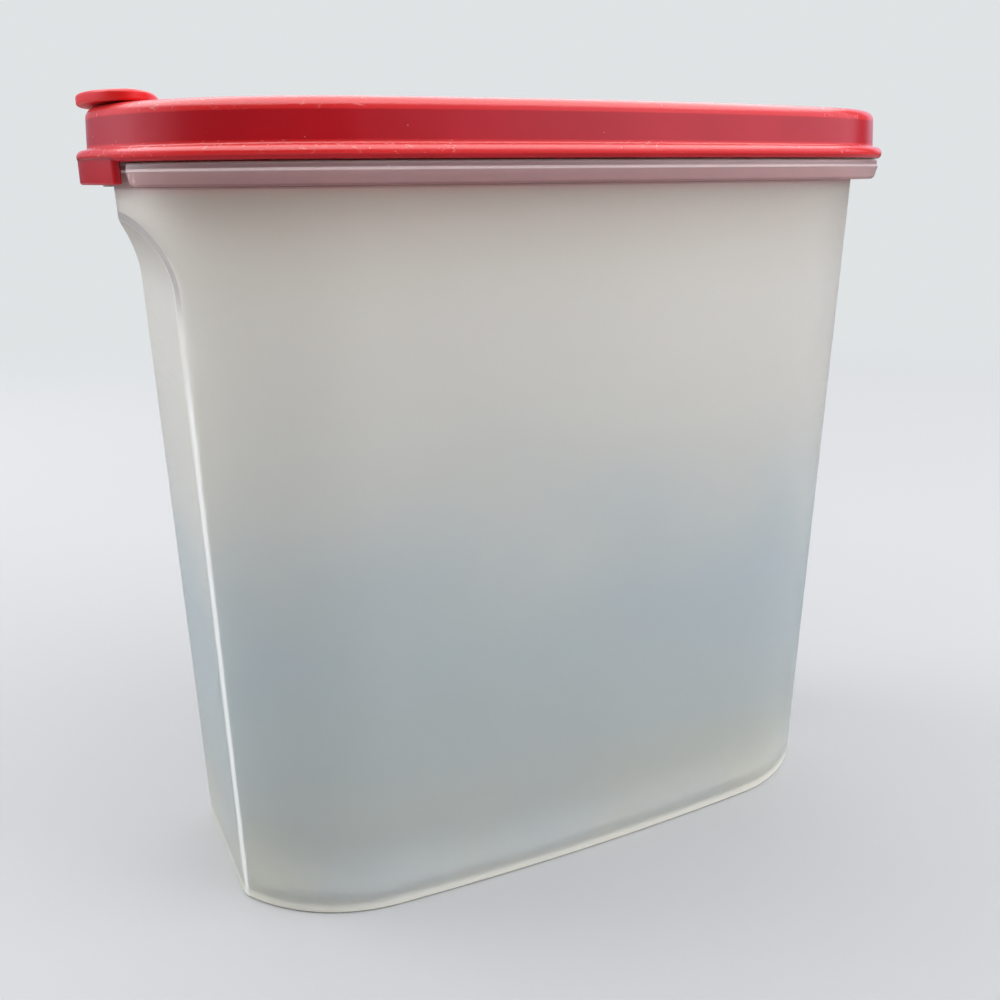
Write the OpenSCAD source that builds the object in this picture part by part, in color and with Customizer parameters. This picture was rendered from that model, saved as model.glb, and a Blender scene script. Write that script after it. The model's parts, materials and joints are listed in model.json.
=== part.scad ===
// Cereal container with a flip-top pouring lid.
//
// Three mouldings make the object: a tall tapered oval container with a grip recess in each end,
// a press-on lid with a lift tab, and a flip cap that turns on two trunnions in the lid.
// X runs along the length with the spout end at -X, Y runs across, and Z is up.
// The origin is the middle of the base, on the surface that it stands on.

/* [Container wall] */
// Length of the outline at the table
base_length = 205.8; // [190:0.1:208]
// Width of the outline at the table
base_width = 97.2; // [80:0.1:110]
// How much smaller the end's radius is than half the width at the table
base_bow = 1.9; // [1:0.1:6]
// Length of the wall under the rim
mouth_length = 213.8; // [210:0.1:225]
// Width of the wall under the rim
mouth_width = 116.2; // [108:0.1:124]
// How much smaller the end's radius is than half the width under the rim
mouth_bow = 4.4; // [1:0.1:8]
// Height of the wall from the table to the underside of the rim
wall_height = 190.2; // [140:0.1:240]
// Wall thickness
wall = 1.6; // [1.2:0.1:2.4]
// Floor thickness at its middle
floor_t = 2.2; // [1.6:0.1:4]
// Radius of the outer edge at the table
base_edge = 0.8; // [0.6:0.1:3]
// Radius between the wall and the floor inside
floor_edge = 4; // [2:0.1:8]
// Width of the foot ring that the container stands on
foot_width = 7; // [4:0.1:12]
// Height of the floor's underside above the foot ring
foot_lift = 0.8; // [0.4:0.1:1.2]

/* [Grip recesses] */
// Depth of the flat recess face behind the end of the outline at the table
recess_depth_base = 6.2; // [3:0.1:8]
// Depth of the flat recess face behind the end of the outline under the rim
recess_depth_top = 6.6; // [3:0.1:9]
// Height of the plain wall between the top of the recess and the rim
recess_top_gap = 7.5; // [4:0.1:30]
// Radius in which the recess face curves out to the wall at its top
recess_flare = 24; // [15:0.5:40]
// Softening of the edge where the recess meets the wall
recess_edge = 0.9; // [0.3:0.1:1.5]

/* [Rim] */
// How far the rim stands out from the wall
rim_reach = 7.1; // [5.8:0.1:9]
// Height of the rim
rim_height = 5.2; // [4:0.1:8]
// How far the rim's outer face leans in from its top to its bottom
rim_draft = 0.5; // [0:0.1:1]
// Thickness of the rim's flange and of its turned-down lip
rim_t = 1.6; // [1.2:0.1:2]
// Radius of the rim's upper outer edge
rim_edge = 1.4; // [0.8:0.1:1.5]

/* [Lid] */
// Thickness of the lid's walls and top
lid_t = 1.8; // [1.4:0.1:2.4]
// Height of the bead that sits on the rim
bead_height = 3; // [2.4:0.1:5]
// How far the bead's nose stands out beyond the rim
bead_nose = 0.7; // [0:0.1:1.2]
// Height of the lid's top above the bead
dome_height = 9.5; // [8.5:0.1:16]
// How far the foot of the dome stands out from the container's wall
dome_foot_reach = 5.2; // [4.6:0.1:5.6]
// How far the top of the dome stands out from the container's wall
dome_top_reach = 4.75; // [3:0.05:4.9]
// Radius of the dome's top edge
dome_edge = 2.35; // [2.3:0.05:4]
// Depth to which the plug wall reaches below the rim's top
plug_depth = 5.4; // [5:0.1:10]
// Thickness of the plug wall
plug_t = 1.5; // [1.2:0.1:2]
// Depth of the sunken panel in the lid's top
panel_sink = 0.6; // [0.2:0.1:0.8]
// Width of the raised border around the sunken panel
panel_border = 11; // [8:0.5:20]

/* [Lift tab] */
// Width of the tab that hangs from the bead at the spout end
lift_width = 47; // [30:0.5:60]
// Gap in the rim beside each end of the lift tab
lift_side_gap = 3.6; // [0.6:0.1:5]
// How far the lift tab reaches below the bead
lift_drop = 4.9; // [4:0.1:5]
// How far the tab's outer face lies inside the bead's
lift_inset = 0.15; // [0.1:0.05:0.5]
// Thickness of the lift tab
lift_t = 1.8; // [1.4:0.1:2.2]

/* [Flip cap] */
// Length of the cap from its front edge to its hinge axis
cap_length = 51; // [40:0.5:60]
// Width of the cap
cap_width = 60; // [50:0.5:64]
// Corner radius at the front of the cap
cap_corner = 26; // [20:0.5:28]
// Distance from the front of the lid's flat top to the cap's front edge
cap_setback = 6; // [3:0.1:10]
// Height of the cap's edge
cap_height = 2.9; // [2.4:0.1:3.4]
// Thickness of the cap's skin and of its edge
cap_skin = 1.5; // [1.2:0.1:1.8]
// Width of the raised thumb lip
lip_width = 40; // [30:0.5:44]
// Length of the raised thumb lip
lip_length = 18; // [12:0.1:20]
// How far the lip's tip reaches past the dome's top edge
lip_overhang = 1.75; // [1.5:0.05:3.4]
// Thickness of the thumb lip
lip_t = 2.3; // [1.6:0.1:2.6]
// Finger gap between the lip and the lid's top
lip_gap = 0.6; // [0.5:0.1:2]

/* [Pouring hole] */
// Width of the seat that the cap's edge covers around the hole
seat_width = 5; // [4:0.1:8]
// Distance from the hinge axis to the hole
hole_to_hinge = 8; // [7:0.5:14]
// Radius of the hole's two corners beside the hinge
hole_corner = 8; // [5:0.5:14]
// Thickness of the tray that holds the hole
tray_t = 1.6; // [1.2:0.1:2]
// How far the cap's plug ring reaches below its edge
ring_depth = 4.4; // [3:0.1:5]
// Thickness of the plug ring
ring_t = 1.3; // [1:0.1:1.8]

/* [Hinge] */
// Radius of each trunnion
pin_r = 1.5; // [1.2:0.05:1.6]
// Length of each trunnion beyond the cap's side
pin_length = 3.6; // [3:0.1:5]
// Radius of the barrel at the cap's rear edge
barrel_r = 1.9; // [1.7:0.05:2]
// Depth of the hinge axis below the lid's top
axis_depth = 2.8; // [2.7:0.05:3]
// Room behind the hinge axis for the cap to turn
rear_room = 4.2; // [4:0.1:6]
// Thickness of the boss around each trunnion
boss_t = 2.2; // [1.6:0.1:3]

/* [Clearances] */
// Gap between the rim's top and the bead
seat_gap = 0.3; // [0.2:0.05:0.5]
// Gap between the plug wall and the container
plug_gap = 0.3; // [0.2:0.05:0.5]
// Gap between the lift tab and the rim
lift_gap = 0.3; // [0.25:0.05:0.5]
// Gap around and under the flip cap
cap_gap = 0.4; // [0.3:0.05:0.6]
// Gap between the plug ring and the pouring hole
ring_gap = 0.5; // [0.45:0.05:0.8]
// Radial running clearance of the trunnions
pin_play = 0.05; // [0.02:0.01:0.1]

/* [Smoothness] */
// Segments in a quarter of the outline's round end
end_segments = 16; // [10:1:20]

/* [Hidden] */

translucent = [0.80, 0.81, 0.77, 0.85];
lid_red = [0.72, 0.07, 0.11];

side_segments = 4;
edge_steps = 3;
flare_steps = 7;
eps = 0.02;
$fn = 48;

// heights
rim_z = wall_height;
rim_top_z = rim_z + rim_height;
bead_z = rim_top_z + seat_gap;
bead_top_z = bead_z + bead_height;
lid_top_z = bead_top_z + dome_height;
lid_under_z = lid_top_z - lid_t;
plug_z = rim_top_z - plug_depth;

// the bead's nose, and the lift tab's outer face just inside it
bead_out = rim_reach + bead_nose;
lift_out = bead_out - lift_inset;

// the recess face leaves the flat at flare_z and reaches the wall's end at arch_z
arch_z = wall_height - recess_top_gap;
flare_run = sqrt(2 * recess_flare * recess_depth_top - pow(recess_depth_top, 2));
flare_z = arch_z - flare_run;

// the flip cap's places along X and Z
dome_end = mouth_length / 2 + dome_top_reach;
cap_front = cap_setback + dome_edge - dome_end;
hinge_x = cap_front + cap_length;
hinge_z = lid_top_z - axis_depth;
cap_bottom_z = lid_top_z - cap_height;
pocket_z = cap_bottom_z - cap_gap;
trough_z = hinge_z - barrel_r - cap_gap;
lip_x = -dome_end - lip_overhang + lip_length / 2;
lip_z = lid_top_z + lip_gap;

// ---------------------------------------------------------------- outline

function mix(a, b, t) = a + (b - a) * t;

// Points on an arc, without its last one.
function arc(centre, r, from, to, steps) =
    [for (i = [0 : steps - 1]) centre + r * [cos(mix(from, to, i / steps)), sin(mix(from, to, i / steps))]];

// A quarter of an oval from the middle of its long side to the middle of its end, grown by `out`.
// The end is an arc about a point on the X axis, of a radius that is `bow` less than half the
// width, and the long side is the wide arc that runs into it without a corner.
function quarter(length, width, bow, out) =
    let (
        a = length / 2,
        b = width / 2,
        end_r = b - bow,
        end_x = a - end_r,
        side_r = (end_x * end_x + b * b - end_r * end_r) / (2 * bow),
        side_y = b - side_r,
        turn = atan2(-side_y, end_x)
    )
    concat(
        arc([0, side_y], side_r + out, 90, turn, side_segments),
        arc([end_x, 0], end_r + out, turn, 0, end_segments),
        [[a + out, 0]]
    );

// The whole oval, anticlockwise from above.
function whole(q) =
    let (n = len(q) - 1)
    concat(
        [for (i = [n : -1 : 1]) q[i]],
        [for (i = [0 : n - 1]) [-q[i].x, q[i].y]],
        [for (i = [n : -1 : 1]) -q[i]],
        [for (i = [0 : n - 1]) [q[i].x, -q[i].y]]
    );

// The outline of the container's wall at height z, grown by `out`.
function wall_outline(z, out) =
    let (t = min(z / wall_height, 1))
    whole(quarter(
        mix(base_length, mouth_length, t),
        mix(base_width, mouth_width, t),
        mix(base_bow, mouth_bow, t),
        out
    ));

// ---------------------------------------------------------------- recess

// How far the recess face has curved outwards at height z.
function flare(z) =
    let (rise = min(max(z - flare_z, 0), recess_flare))
    recess_flare - sqrt(pow(recess_flare, 2) - rise * rise);

// Distance of the recess face from the middle at height z.
function recess_x(z) =
    let (t = min(z / wall_height, 1))
    mix(base_length, mouth_length, t) / 2 - mix(recess_depth_base, recess_depth_top, t) + flare(z);

// x held back to the limit on both sides, with a softened edge.
function held(x, limit) =
    let (
        a = abs(x),
        near = max(recess_edge - abs(a - limit), 0) / recess_edge
    )
    sign(x) * (min(a, limit) - near * near * recess_edge / 4);

// ---------------------------------------------------------------- rings and lofts

// One ring of the container at height z, grown by `out`, with both recesses.
function wall_ring(z, out) =
    [for (p = wall_outline(z, out)) [held(p.x, recess_x(z) + out), p.y, z]];

// One ring of the rim or the lid at height z, grown by `out` from the wall under the rim.
function rim_ring(z, out) = [for (p = wall_outline(wall_height, out)) [p.x, p.y, z]];

// A closed solid through rings that all have the same even number of points. The first ring is
// closed from below and the last from above, each by a fan around its middle.
module loft(rings) {
    n = len(rings[0]);
    half = n / 2;
    first = rings[0];
    last = rings[len(rings) - 1];
    low_hub = len(rings) * n;
    high_hub = low_hub + 1;
    high = low_hub - n;
    sides = [
        for (i = [0 : len(rings) - 2], j = [0 : n - 1])
            let (
                k = (j + 1) % n,
                here = i * n,
                next = here + n
            )
            each [
                [here + j, next + j, next + k],
                [here + j, next + k, here + k]
            ]
    ];
    caps = [
        for (j = [0 : n - 1])
            let (k = (j + 1) % n)
            each [[low_hub, j, k], [high_hub, high + k, high + j]]
    ];
    polyhedron(
        points = concat(
            [for (ring = rings) each ring],
            [(first[0] + first[half]) / 2, (last[0] + last[half]) / 2]
        ),
        faces = concat(sides, caps),
        convexity = 10
    );
}

// Offsets [inward, up] around a quarter-round edge of radius r, from its side to its end.
function edge_round(r) =
    [for (i = [0 : edge_steps]) let (t = 90 * i / edge_steps) [r * (1 - cos(t)), r * sin(t)]];

// ---------------------------------------------------------------- container

module container() {
    foot_inner = -base_edge - foot_width;
    lip_inner = rim_reach - rim_t;
    floor_z = foot_lift + floor_t;
    top_out = rim_reach - rim_edge;
    flare_heights = [for (i = [0 : flare_steps]) mix(flare_z, arch_z, sin(90 * i / flare_steps))];
    levels = concat(flare_heights, [arch_z + 1.5, arch_z + 3.5]);
    color(translucent)
    difference() {
        loft(concat(
            // underside and foot ring
            [wall_ring(foot_lift, foot_inner), wall_ring(0, foot_inner)],
            [for (i = [edge_steps : -1 : 0]) let (e = edge_round(base_edge)[i]) wall_ring(base_edge - e.y, -e.x)],
            // outer wall
            [for (z = levels) wall_ring(z, 0)],
            [rim_ring(rim_z, 0), rim_ring(rim_top_z - rim_t, 0)],
            // rim
            [rim_ring(rim_top_z - rim_t, lip_inner), rim_ring(rim_z, lip_inner)],
            [rim_ring(rim_z, rim_reach - rim_draft)],
            [for (e = edge_round(rim_edge)) rim_ring(rim_top_z - rim_edge + e.y, rim_reach - e.x)],
            [rim_ring(rim_top_z, -wall)],
            // inner wall and floor
            [for (i = [len(levels) - 1 : -1 : 0]) wall_ring(levels[i], -wall)],
            [for (e = edge_round(floor_edge)) wall_ring(floor_z + floor_edge - e.y, -wall - e.x)]
        ));
        lift_notch();
    }
}

// The gap in the rim's lip that the lift tab hangs in.
module lift_notch() {
    room = lift_gap * 2;
    lift_sector(
        width = lift_width + 2 * lift_side_gap,
        inner = min(lift_out - lift_t, rim_reach - rim_t) - lift_gap,
        outer = rim_reach + room,
        bottom = rim_z - room,
        top = rim_top_z + room
    );
}

// A piece of a ring around the spout end, between two growths of the wall under the rim.
module lift_sector(width, inner, outer, bottom, top) {
    end_r = mouth_width / 2 - mouth_bow;
    end_x = mouth_length / 2 - end_r;
    translate([-end_x, 0, bottom])
    linear_extrude(height = top - bottom)
    intersection() {
        difference() {
            circle(r = end_r + outer, $fn = 120);
            circle(r = end_r + inner, $fn = 120);
        }
        translate([-end_r - outer, -width / 2])
        square([end_r + outer, width]);
    }
}

// ---------------------------------------------------------------- lid

module lid() {
    plug_out = -wall - plug_gap;
    plug_in = plug_out - plug_t;
    web_z = bead_z + lid_t;
    inner_edge = dome_edge - lid_t;
    color(lid_red)
    difference() {
        union() {
            loft(concat(
                // inside of the dome, from its top down to the web
                [for (i = [edge_steps : -1 : 0]) let (e = edge_round(inner_edge)[i])
                    rim_ring(lid_under_z - inner_edge + e.y, dome_top_reach - lid_t - e.x)],
                [rim_ring(web_z, dome_foot_reach - lid_t)],
                // plug wall
                [rim_ring(web_z, plug_in), rim_ring(plug_z, plug_in + plug_t / 4)],
                [rim_ring(plug_z, plug_out - plug_t / 4), rim_ring(plug_z + plug_t, plug_out)],
                [rim_ring(bead_z, plug_out)],
                // bead
                [rim_ring(bead_z, bead_out - bead_height / 4)],
                [rim_ring(bead_z + bead_height / 3, bead_out), rim_ring(bead_z + bead_height / 2, bead_out)],
                [rim_ring(bead_top_z - bead_height / 6, bead_out - bead_height / 4)],
                [rim_ring(bead_top_z, bead_out - bead_height / 2)],
                // outside of the dome
                [rim_ring(bead_top_z, dome_foot_reach)],
                [for (e = edge_round(dome_edge)) rim_ring(lid_top_z - dome_edge + e.y, dome_top_reach - e.x)]
            ));
            lift_sector(
                width = lift_width,
                inner = lift_out - lift_t,
                outer = lift_out,
                bottom = bead_z - lift_drop,
                top = bead_z + bead_height / 2
            );
            tray();
        }
        sunken_panel();
        pocket();
    }
}

// The shallow panel in the lid's top behind the flip cap.
module sunken_panel() {
    front = hinge_x + rear_room + panel_border;
    translate([0, 0, lid_top_z - panel_sink])
    linear_extrude(height = 2 * panel_sink)
    intersection() {
        polygon(wall_outline(wall_height, dome_top_reach - dome_edge - panel_border));
        translate([front, -mouth_width])
        square([mouth_length, 2 * mouth_width]);
    }
}

// The plan of the flip cap, grown by `out`, with its rear edge at x = rear.
module tongue(out, rear) {
    r = cap_corner + out;
    half = cap_width / 2 + out;
    x = cap_front - out;
    intersection() {
        union() {
            translate([x + r, -half])
            square([cap_length + r, 2 * half]);
            translate([x, -(half - r)])
            square([r + eps, 2 * (half - r)]);
            for (side = [-1, 1])
                translate([x + r, side * (half - r)])
                circle(r = r);
        }
        translate([x, -half])
        square([rear - x, 2 * half]);
    }
}

// A slab with the plan of the flip cap.
module tongue_slab(out, rear, bottom, top) {
    translate([0, 0, bottom])
    linear_extrude(height = top - bottom)
    tongue(out, rear);
}

// The tray below the lid's top that carries the pouring hole and the two hinge bosses.
module tray() {
    rear = hinge_x + rear_room + tray_t;
    tongue_slab(cap_gap + tray_t, rear, pocket_z - tray_t, lid_under_z + eps);
    // deeper part below the barrel
    trough_l = 2 * rear_room + 2 * tray_t;
    boss_end = cap_width / 2 + pin_length + cap_gap + boss_t;
    translate([rear - trough_l, -boss_end, trough_z - tray_t])
    cube([trough_l, 2 * boss_end, lid_under_z + eps - trough_z + tray_t]);
}

// Everything that is cut out of the lid's top for the flip cap.
module pocket() {
    rear = hinge_x + rear_room;
    half = cap_width / 2 + cap_gap;
    tongue_slab(cap_gap, rear, pocket_z, lid_top_z + 1);
    translate([hinge_x - rear_room, -half, trough_z])
    cube([2 * rear_room, 2 * half, lid_top_z + 1 - trough_z]);
    translate([0, 0, pocket_z - tray_t - 1])
    linear_extrude(height = tray_t + 2)
    hole_plan(0);
    trunnions(pin_r + pin_play, cap_gap);
}

// The plan of the pouring hole, drawn in by `inset`.
module hole_plan(inset) {
    rear = hinge_x - hole_to_hinge - inset;
    half = cap_width / 2 - seat_width - inset;
    r = hole_corner - inset;
    intersection() {
        tongue(-seat_width - inset, rear);
        union() {
            translate([cap_front, -half])
            square([rear - r - cap_front, 2 * half]);
            translate([cap_front, -(half - r)])
            square([rear - cap_front, 2 * (half - r)]);
            for (side = [-1, 1])
                translate([rear - r, side * (half - r)])
                circle(r = r);
        }
    }
}

// ---------------------------------------------------------------- flip cap

module flip_cap() {
    rear = hinge_x + 1;
    color(lid_red) {
        difference() {
            union() {
                tongue_slab(0, rear, cap_bottom_z, lid_top_z);
                translate([hinge_x, -cap_width / 2, hinge_z])
                rotate([-90, 0, 0])
                cylinder(r = barrel_r, h = cap_width);
            }
            // hollow under the skin
            difference() {
                tongue_slab(-cap_skin, hinge_x - barrel_r - cap_skin / 2, cap_bottom_z - 1, lid_top_z - cap_skin);
                plug_ring(ring_gap, ring_gap + ring_t, cap_bottom_z - 2, lid_top_z);
            }
        }
        plug_ring(ring_gap, ring_gap + ring_t, cap_bottom_z - ring_depth, lid_top_z - cap_skin + eps);
        trunnions(pin_r, 0);
        thumb_lip();
    }
}

// A ring with the plan of the pouring hole between two insets.
module plug_ring(outer, inner, bottom, top) {
    translate([0, 0, bottom])
    linear_extrude(height = top - bottom)
    difference() {
        hole_plan(outer);
        hole_plan(inner);
    }
}

// The two trunnions, or the bores that they turn in, which reach `extra` further.
module trunnions(r, extra) {
    start = cap_width / 2 - 1;
    for (side = [-1, 1])
        translate([hinge_x, side * start, hinge_z])
        rotate([-90 * side, 0, 0])
        cylinder(r = r, h = pin_length + 1 + extra);
}

// The raised oval lip at the cap's front, which overhangs the lid's end.
module thumb_lip() {
    half_x = lip_length / 2;
    half_y = lip_width / 2;
    edge = lip_t * 0.45;
    function lip_ring(z, out) =
        [for (i = [0 : 47]) let (t = 7.5 * i)
            [lip_x + (half_x + out) * cos(t), (half_y + out) * sin(t), z]];
    loft(concat(
        [for (i = [edge_steps : -1 : 0]) let (e = edge_round(edge)[i]) lip_ring(lip_z + edge - e.y, -e.x)],
        [for (e = edge_round(edge)) lip_ring(lip_z + lip_t - edge + e.y, -e.x)]
    ));
    // web that joins the lip to the cap's skin
    translate([0, 0, lid_top_z - cap_skin])
    linear_extrude(height = cap_skin + lip_gap + lip_t / 2)
    intersection() {
        tongue(-cap_skin / 2, hinge_x);
        polygon([for (i = [0 : 47]) let (t = 7.5 * i) [lip_x + (half_x - edge) * cos(t), (half_y - edge) * sin(t)]]);
    }
}

// ---------------------------------------------------------------- nodes

container();
lid();
flip_cap();
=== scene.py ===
"""The looks of a cereal container with a flip-top pouring lid.

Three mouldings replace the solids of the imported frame: the frosted container, the red lid and the
red flip cap. Each is worked out as surfaces in numpy from the same sizes as the solids, in metres:
X runs along the length with the spout end at -X, Y runs across and Z is up.
"""

import json
import logging
import math
from abc import ABC, abstractmethod
from collections.abc import Sequence
from dataclasses import dataclass, field
from enum import Enum
from functools import cached_property, reduce

import bmesh
import bpy
import numpy as np
from mathutils import Matrix, Vector
from mathutils.geometry import tessellate_polygon


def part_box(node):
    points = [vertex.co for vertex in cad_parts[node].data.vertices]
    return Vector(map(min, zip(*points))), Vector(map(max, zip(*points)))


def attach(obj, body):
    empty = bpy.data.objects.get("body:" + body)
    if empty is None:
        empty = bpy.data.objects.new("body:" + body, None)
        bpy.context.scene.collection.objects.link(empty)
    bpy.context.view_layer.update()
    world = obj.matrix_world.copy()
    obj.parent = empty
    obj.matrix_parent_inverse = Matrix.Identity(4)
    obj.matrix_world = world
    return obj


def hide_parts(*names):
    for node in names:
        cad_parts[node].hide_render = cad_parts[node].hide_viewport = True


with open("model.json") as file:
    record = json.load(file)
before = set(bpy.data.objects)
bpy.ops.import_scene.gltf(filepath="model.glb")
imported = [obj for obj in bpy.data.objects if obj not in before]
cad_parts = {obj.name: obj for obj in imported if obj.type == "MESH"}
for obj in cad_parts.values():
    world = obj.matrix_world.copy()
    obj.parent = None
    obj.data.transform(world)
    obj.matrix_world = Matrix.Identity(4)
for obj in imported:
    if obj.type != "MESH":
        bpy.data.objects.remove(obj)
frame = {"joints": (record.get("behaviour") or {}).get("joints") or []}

Array = np.ndarray
Colour = tuple[float, float, float]
Point = tuple[float, float, float]
# the two values, most of them heights, between which something comes or goes
Span = tuple[float, float]
# two borders, and the width over which each fades
Band = tuple[float, float, float]
# scale, octaves, roughness and distortion
Noise = tuple[float, ...]
# scale, and size as a share of a cell
Dots = tuple[float, float]

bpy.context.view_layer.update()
LOG = logging.getLogger("cereal_container")

MM = 0.001
WELD = 1e-6
SHARP_ANGLE = math.radians(38)
NORMAL_WEIGHT = 50
WALL_HEIGHT = 190.2 * MM
SMALL_ROUND = 0.4 * MM
BORDER = 0.4 * MM
TUBE_STEPS = 40
FRONT_STEPS = 24
REAR_STEPS = 8


# ---------------------------------------------------------------- curves


def mix(a: Array | float, b: Array | float, t: Array | float) -> Array | float:
    """Value between a and b: a + (b - a) * t."""
    return a + (b - a) * t


def polar(radius: float, angle: Array, centre: tuple[float, float] = (0.0, 0.0)) -> Array:
    """Points of an arc: centre + radius * (cosine, sine) of the angle.

    Args:
        radius: Radius of the arc.
        angle: Angles in radians.
        centre: Middle of the arc.

    Returns:
        One row (x, y) for each angle.
    """
    return np.stack([centre[0] + radius * np.cos(angle), centre[1] + radius * np.sin(angle)], -1)


def edge_round(radius: float, steps: int = 5) -> Array:
    """Offsets (inwards, up) along a quarter-round edge: r * (1 - cos t) and r * sin t.

    Args:
        radius: Radius of the edge.
        steps: Number of stretches.

    Returns:
        steps + 1 rows, from the side of the edge to its end.
    """
    t = np.linspace(0, math.pi / 2, steps + 1)
    return radius * np.stack([1 - np.cos(t), np.sin(t)], -1)


def held(value: Array, limit: Array | float, edge: float) -> Array:
    """Values kept under a limit with a softened corner.

    Formula: min(v, limit) - edge / 4 * n * n, where n falls from 1 at the limit to 0 at `edge` away.

    Args:
        value: Values to hold back.
        limit: The limit.
        edge: Distance over which the corner is softened.

    Returns:
        The held values.
    """
    near = np.clip(edge - np.abs(value - limit), 0, None) / edge
    return np.minimum(value, limit) - near * near * edge / 4


@dataclass(frozen=True)
class Oval:
    """Plan of the wall: two round ends, and long sides that are wide arcs running into them."""

    length: float
    width: float
    bow: float
    side_steps: int = 14
    end_steps: int = 26
    crowd_steps: int = 16
    face_steps: int = 12
    crowd_reach: float = 2.2 * MM
    crowd_share: float = 0.45

    @property
    def end_radius(self) -> float:
        """Radius of the round end: half the width less the bow."""
        return self.width / 2 - self.bow

    @property
    def end_x(self) -> float:
        """Distance of the end arc's centre from the middle."""
        return self.length / 2 - self.end_radius

    def angles(self, crowd: float) -> tuple[Array, Array]:
        """Angles of the points on the side arc and on the end arc of a quarter.

        Args:
            crowd: Angle on the end arc around which the points lie closer together.

        Returns:
            The side's angles and the end's angles.
        """
        side_y = self.width / 2 - self.side_radius
        turn = math.atan2(-side_y, self.end_x)
        near = min(self.crowd_reach / self.end_radius, self.crowd_share * crowd)
        side = np.linspace(math.pi / 2, turn, self.side_steps, endpoint=False)
        end = np.concatenate(
            [
                np.linspace(turn, crowd + near, self.end_steps, endpoint=False),
                np.linspace(crowd + near, crowd - near, self.crowd_steps, endpoint=False),
                np.linspace(crowd - near, 0, self.face_steps + 1),
            ]
        )
        return side, end

    @property
    def side_radius(self) -> float:
        """Radius of the side: (end_x squared + b squared - end_radius squared) / (2 * bow)."""
        half = self.width / 2
        return (self.end_x**2 + half**2 - self.end_radius**2) / (2 * self.bow)

    def loop(self, grow: float, crowd: float) -> Array:
        """The whole oval, anticlockwise from above, starting in the middle of the +X end.

        Args:
            grow: Distance by which the outline is grown.
            crowd: Angle on the end arc around which the points lie closer together.

        Returns:
            Rows (x, y) of the closed outline, without a repeated last point.
        """
        side, end = self.angles(crowd)
        side_y = self.width / 2 - self.side_radius
        quarter = np.concatenate(
            [
                polar(self.side_radius + grow, side, (0.0, side_y)),
                polar(self.end_radius + grow, end, (self.end_x, 0.0)),
            ]
        )
        back = quarter[:0:-1]
        forth = quarter[:-1]
        return np.concatenate([back, forth * (-1, 1), -back, forth * (1, -1)])

    def loop_angle(self, crowd: float) -> Array:
        """Angle from the X axis of each point of the loop's end arcs, a right angle on the sides.

        Args:
            crowd: Angle on the end arc around which the points lie closer together.

        Returns:
            One angle for each point, in radians.
        """
        side, end = self.angles(crowd)
        quarter = np.concatenate([np.full(len(side), math.pi / 2), end])
        back = quarter[:0:-1]
        forth = quarter[:-1]
        return np.concatenate([back, forth, back, forth])


def tongue_plan(
    front: float, rear: float, half: float, front_r: float, rear_r: float, split: float | None = None
) -> tuple[Array, Array]:
    """Plan of a tongue with round corners, in two paths that share their ends.

    Args:
        front: X of the front edge.
        rear: X of the rear edge.
        half: Half the width.
        front_r: Radius of the two front corners.
        rear_r: Radius of the two rear corners.
        split: X on the straight sides at which the paths meet, midway if None.

    Returns:
        The path around the front from -Y to +Y, and the path around the rear back to -Y.
    """
    at = (front + front_r + rear - rear_r) / 2 if split is None else split
    front_turn = np.linspace(math.pi / 2, math.pi, FRONT_STEPS + 1)
    rear_turn = np.linspace(math.pi / 2, 0, REAR_STEPS + 1)
    front_arc = polar(front_r, front_turn, (front + front_r, half - front_r))
    rear_arc = polar(rear_r, rear_turn, (rear - rear_r, half - rear_r))
    side = np.array([[at, half]])
    upper_front = np.concatenate([side, front_arc])[::-1]
    upper_rear = np.concatenate([side, rear_arc])
    flip = (1, -1)
    return (
        np.concatenate([upper_front[::-1] * flip, upper_front]),
        np.concatenate([upper_rear, upper_rear[::-1] * flip]),
    )


def eased(t: Array | float) -> Array | float:
    """Smooth step of t from 0 to 1: t * t * (3 - 2 * t)."""
    return t * t * (3 - 2 * t)


def closed_plan(paths: tuple[Array, Array]) -> Array:
    """The closed outline made of a tongue's two paths."""
    return np.concatenate([paths[0], paths[1][1:-1]])


def at_height(plan: Array, z: float) -> Array:
    """A plan's points (x, y) as points (x, y, z)."""
    return np.concatenate([plan, np.full((len(plan), 1), z)], 1)


# ---------------------------------------------------------------- mesh building


def grid_faces(n_rows: int, n_cols: int, wrap: bool) -> Array:
    """Faces with four corners of a grid of points that are numbered row after row.

    Args:
        n_rows: Number of rows.
        n_cols: Number of points in each row.
        wrap: Whether each row closes on itself.

    Returns:
        One row of four point numbers for each face.
    """
    index = np.arange(n_rows * n_cols).reshape(n_rows, n_cols)
    across = np.roll(index, -1, axis=1) if wrap else index[:, 1:]
    here = index if wrap else index[:, :-1]
    return np.stack([here[:-1], across[:-1], across[1:], here[1:]], -1).reshape(-1, 4)


def new_mesh(name: str, points: Array, faces: Array) -> bpy.types.Mesh:
    """Makes a mesh from points and faces, and drops the corners that a face has twice.

    Args:
        name: Name of the mesh.
        points: Rows (x, y, z).
        faces: Rows of four point numbers, where a number below 0 is no corner.

    Returns:
        The mesh.
    """
    earlier = np.tril(np.ones((4, 4), bool), -1)
    again = ((faces[:, :, None] == faces[:, None, :]) & earlier).any(-1)
    kept = (faces >= 0) & ~again
    size = kept.sum(1)
    whole = size > 2
    corners = faces[whole][kept[whole]]
    mesh = bpy.data.meshes.new(name)
    mesh.vertices.add(len(points))
    mesh.vertices.foreach_set("co", points.astype(np.float32).ravel())
    mesh.loops.add(len(corners))
    mesh.loops.foreach_set("vertex_index", corners.astype(np.int32))
    mesh.polygons.add(np.count_nonzero(whole))
    mesh.polygons.foreach_set("loop_start", (np.cumsum(size[whole]) - size[whole]).astype(np.int32))
    mesh.update(calc_edges=True)
    return mesh


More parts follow.
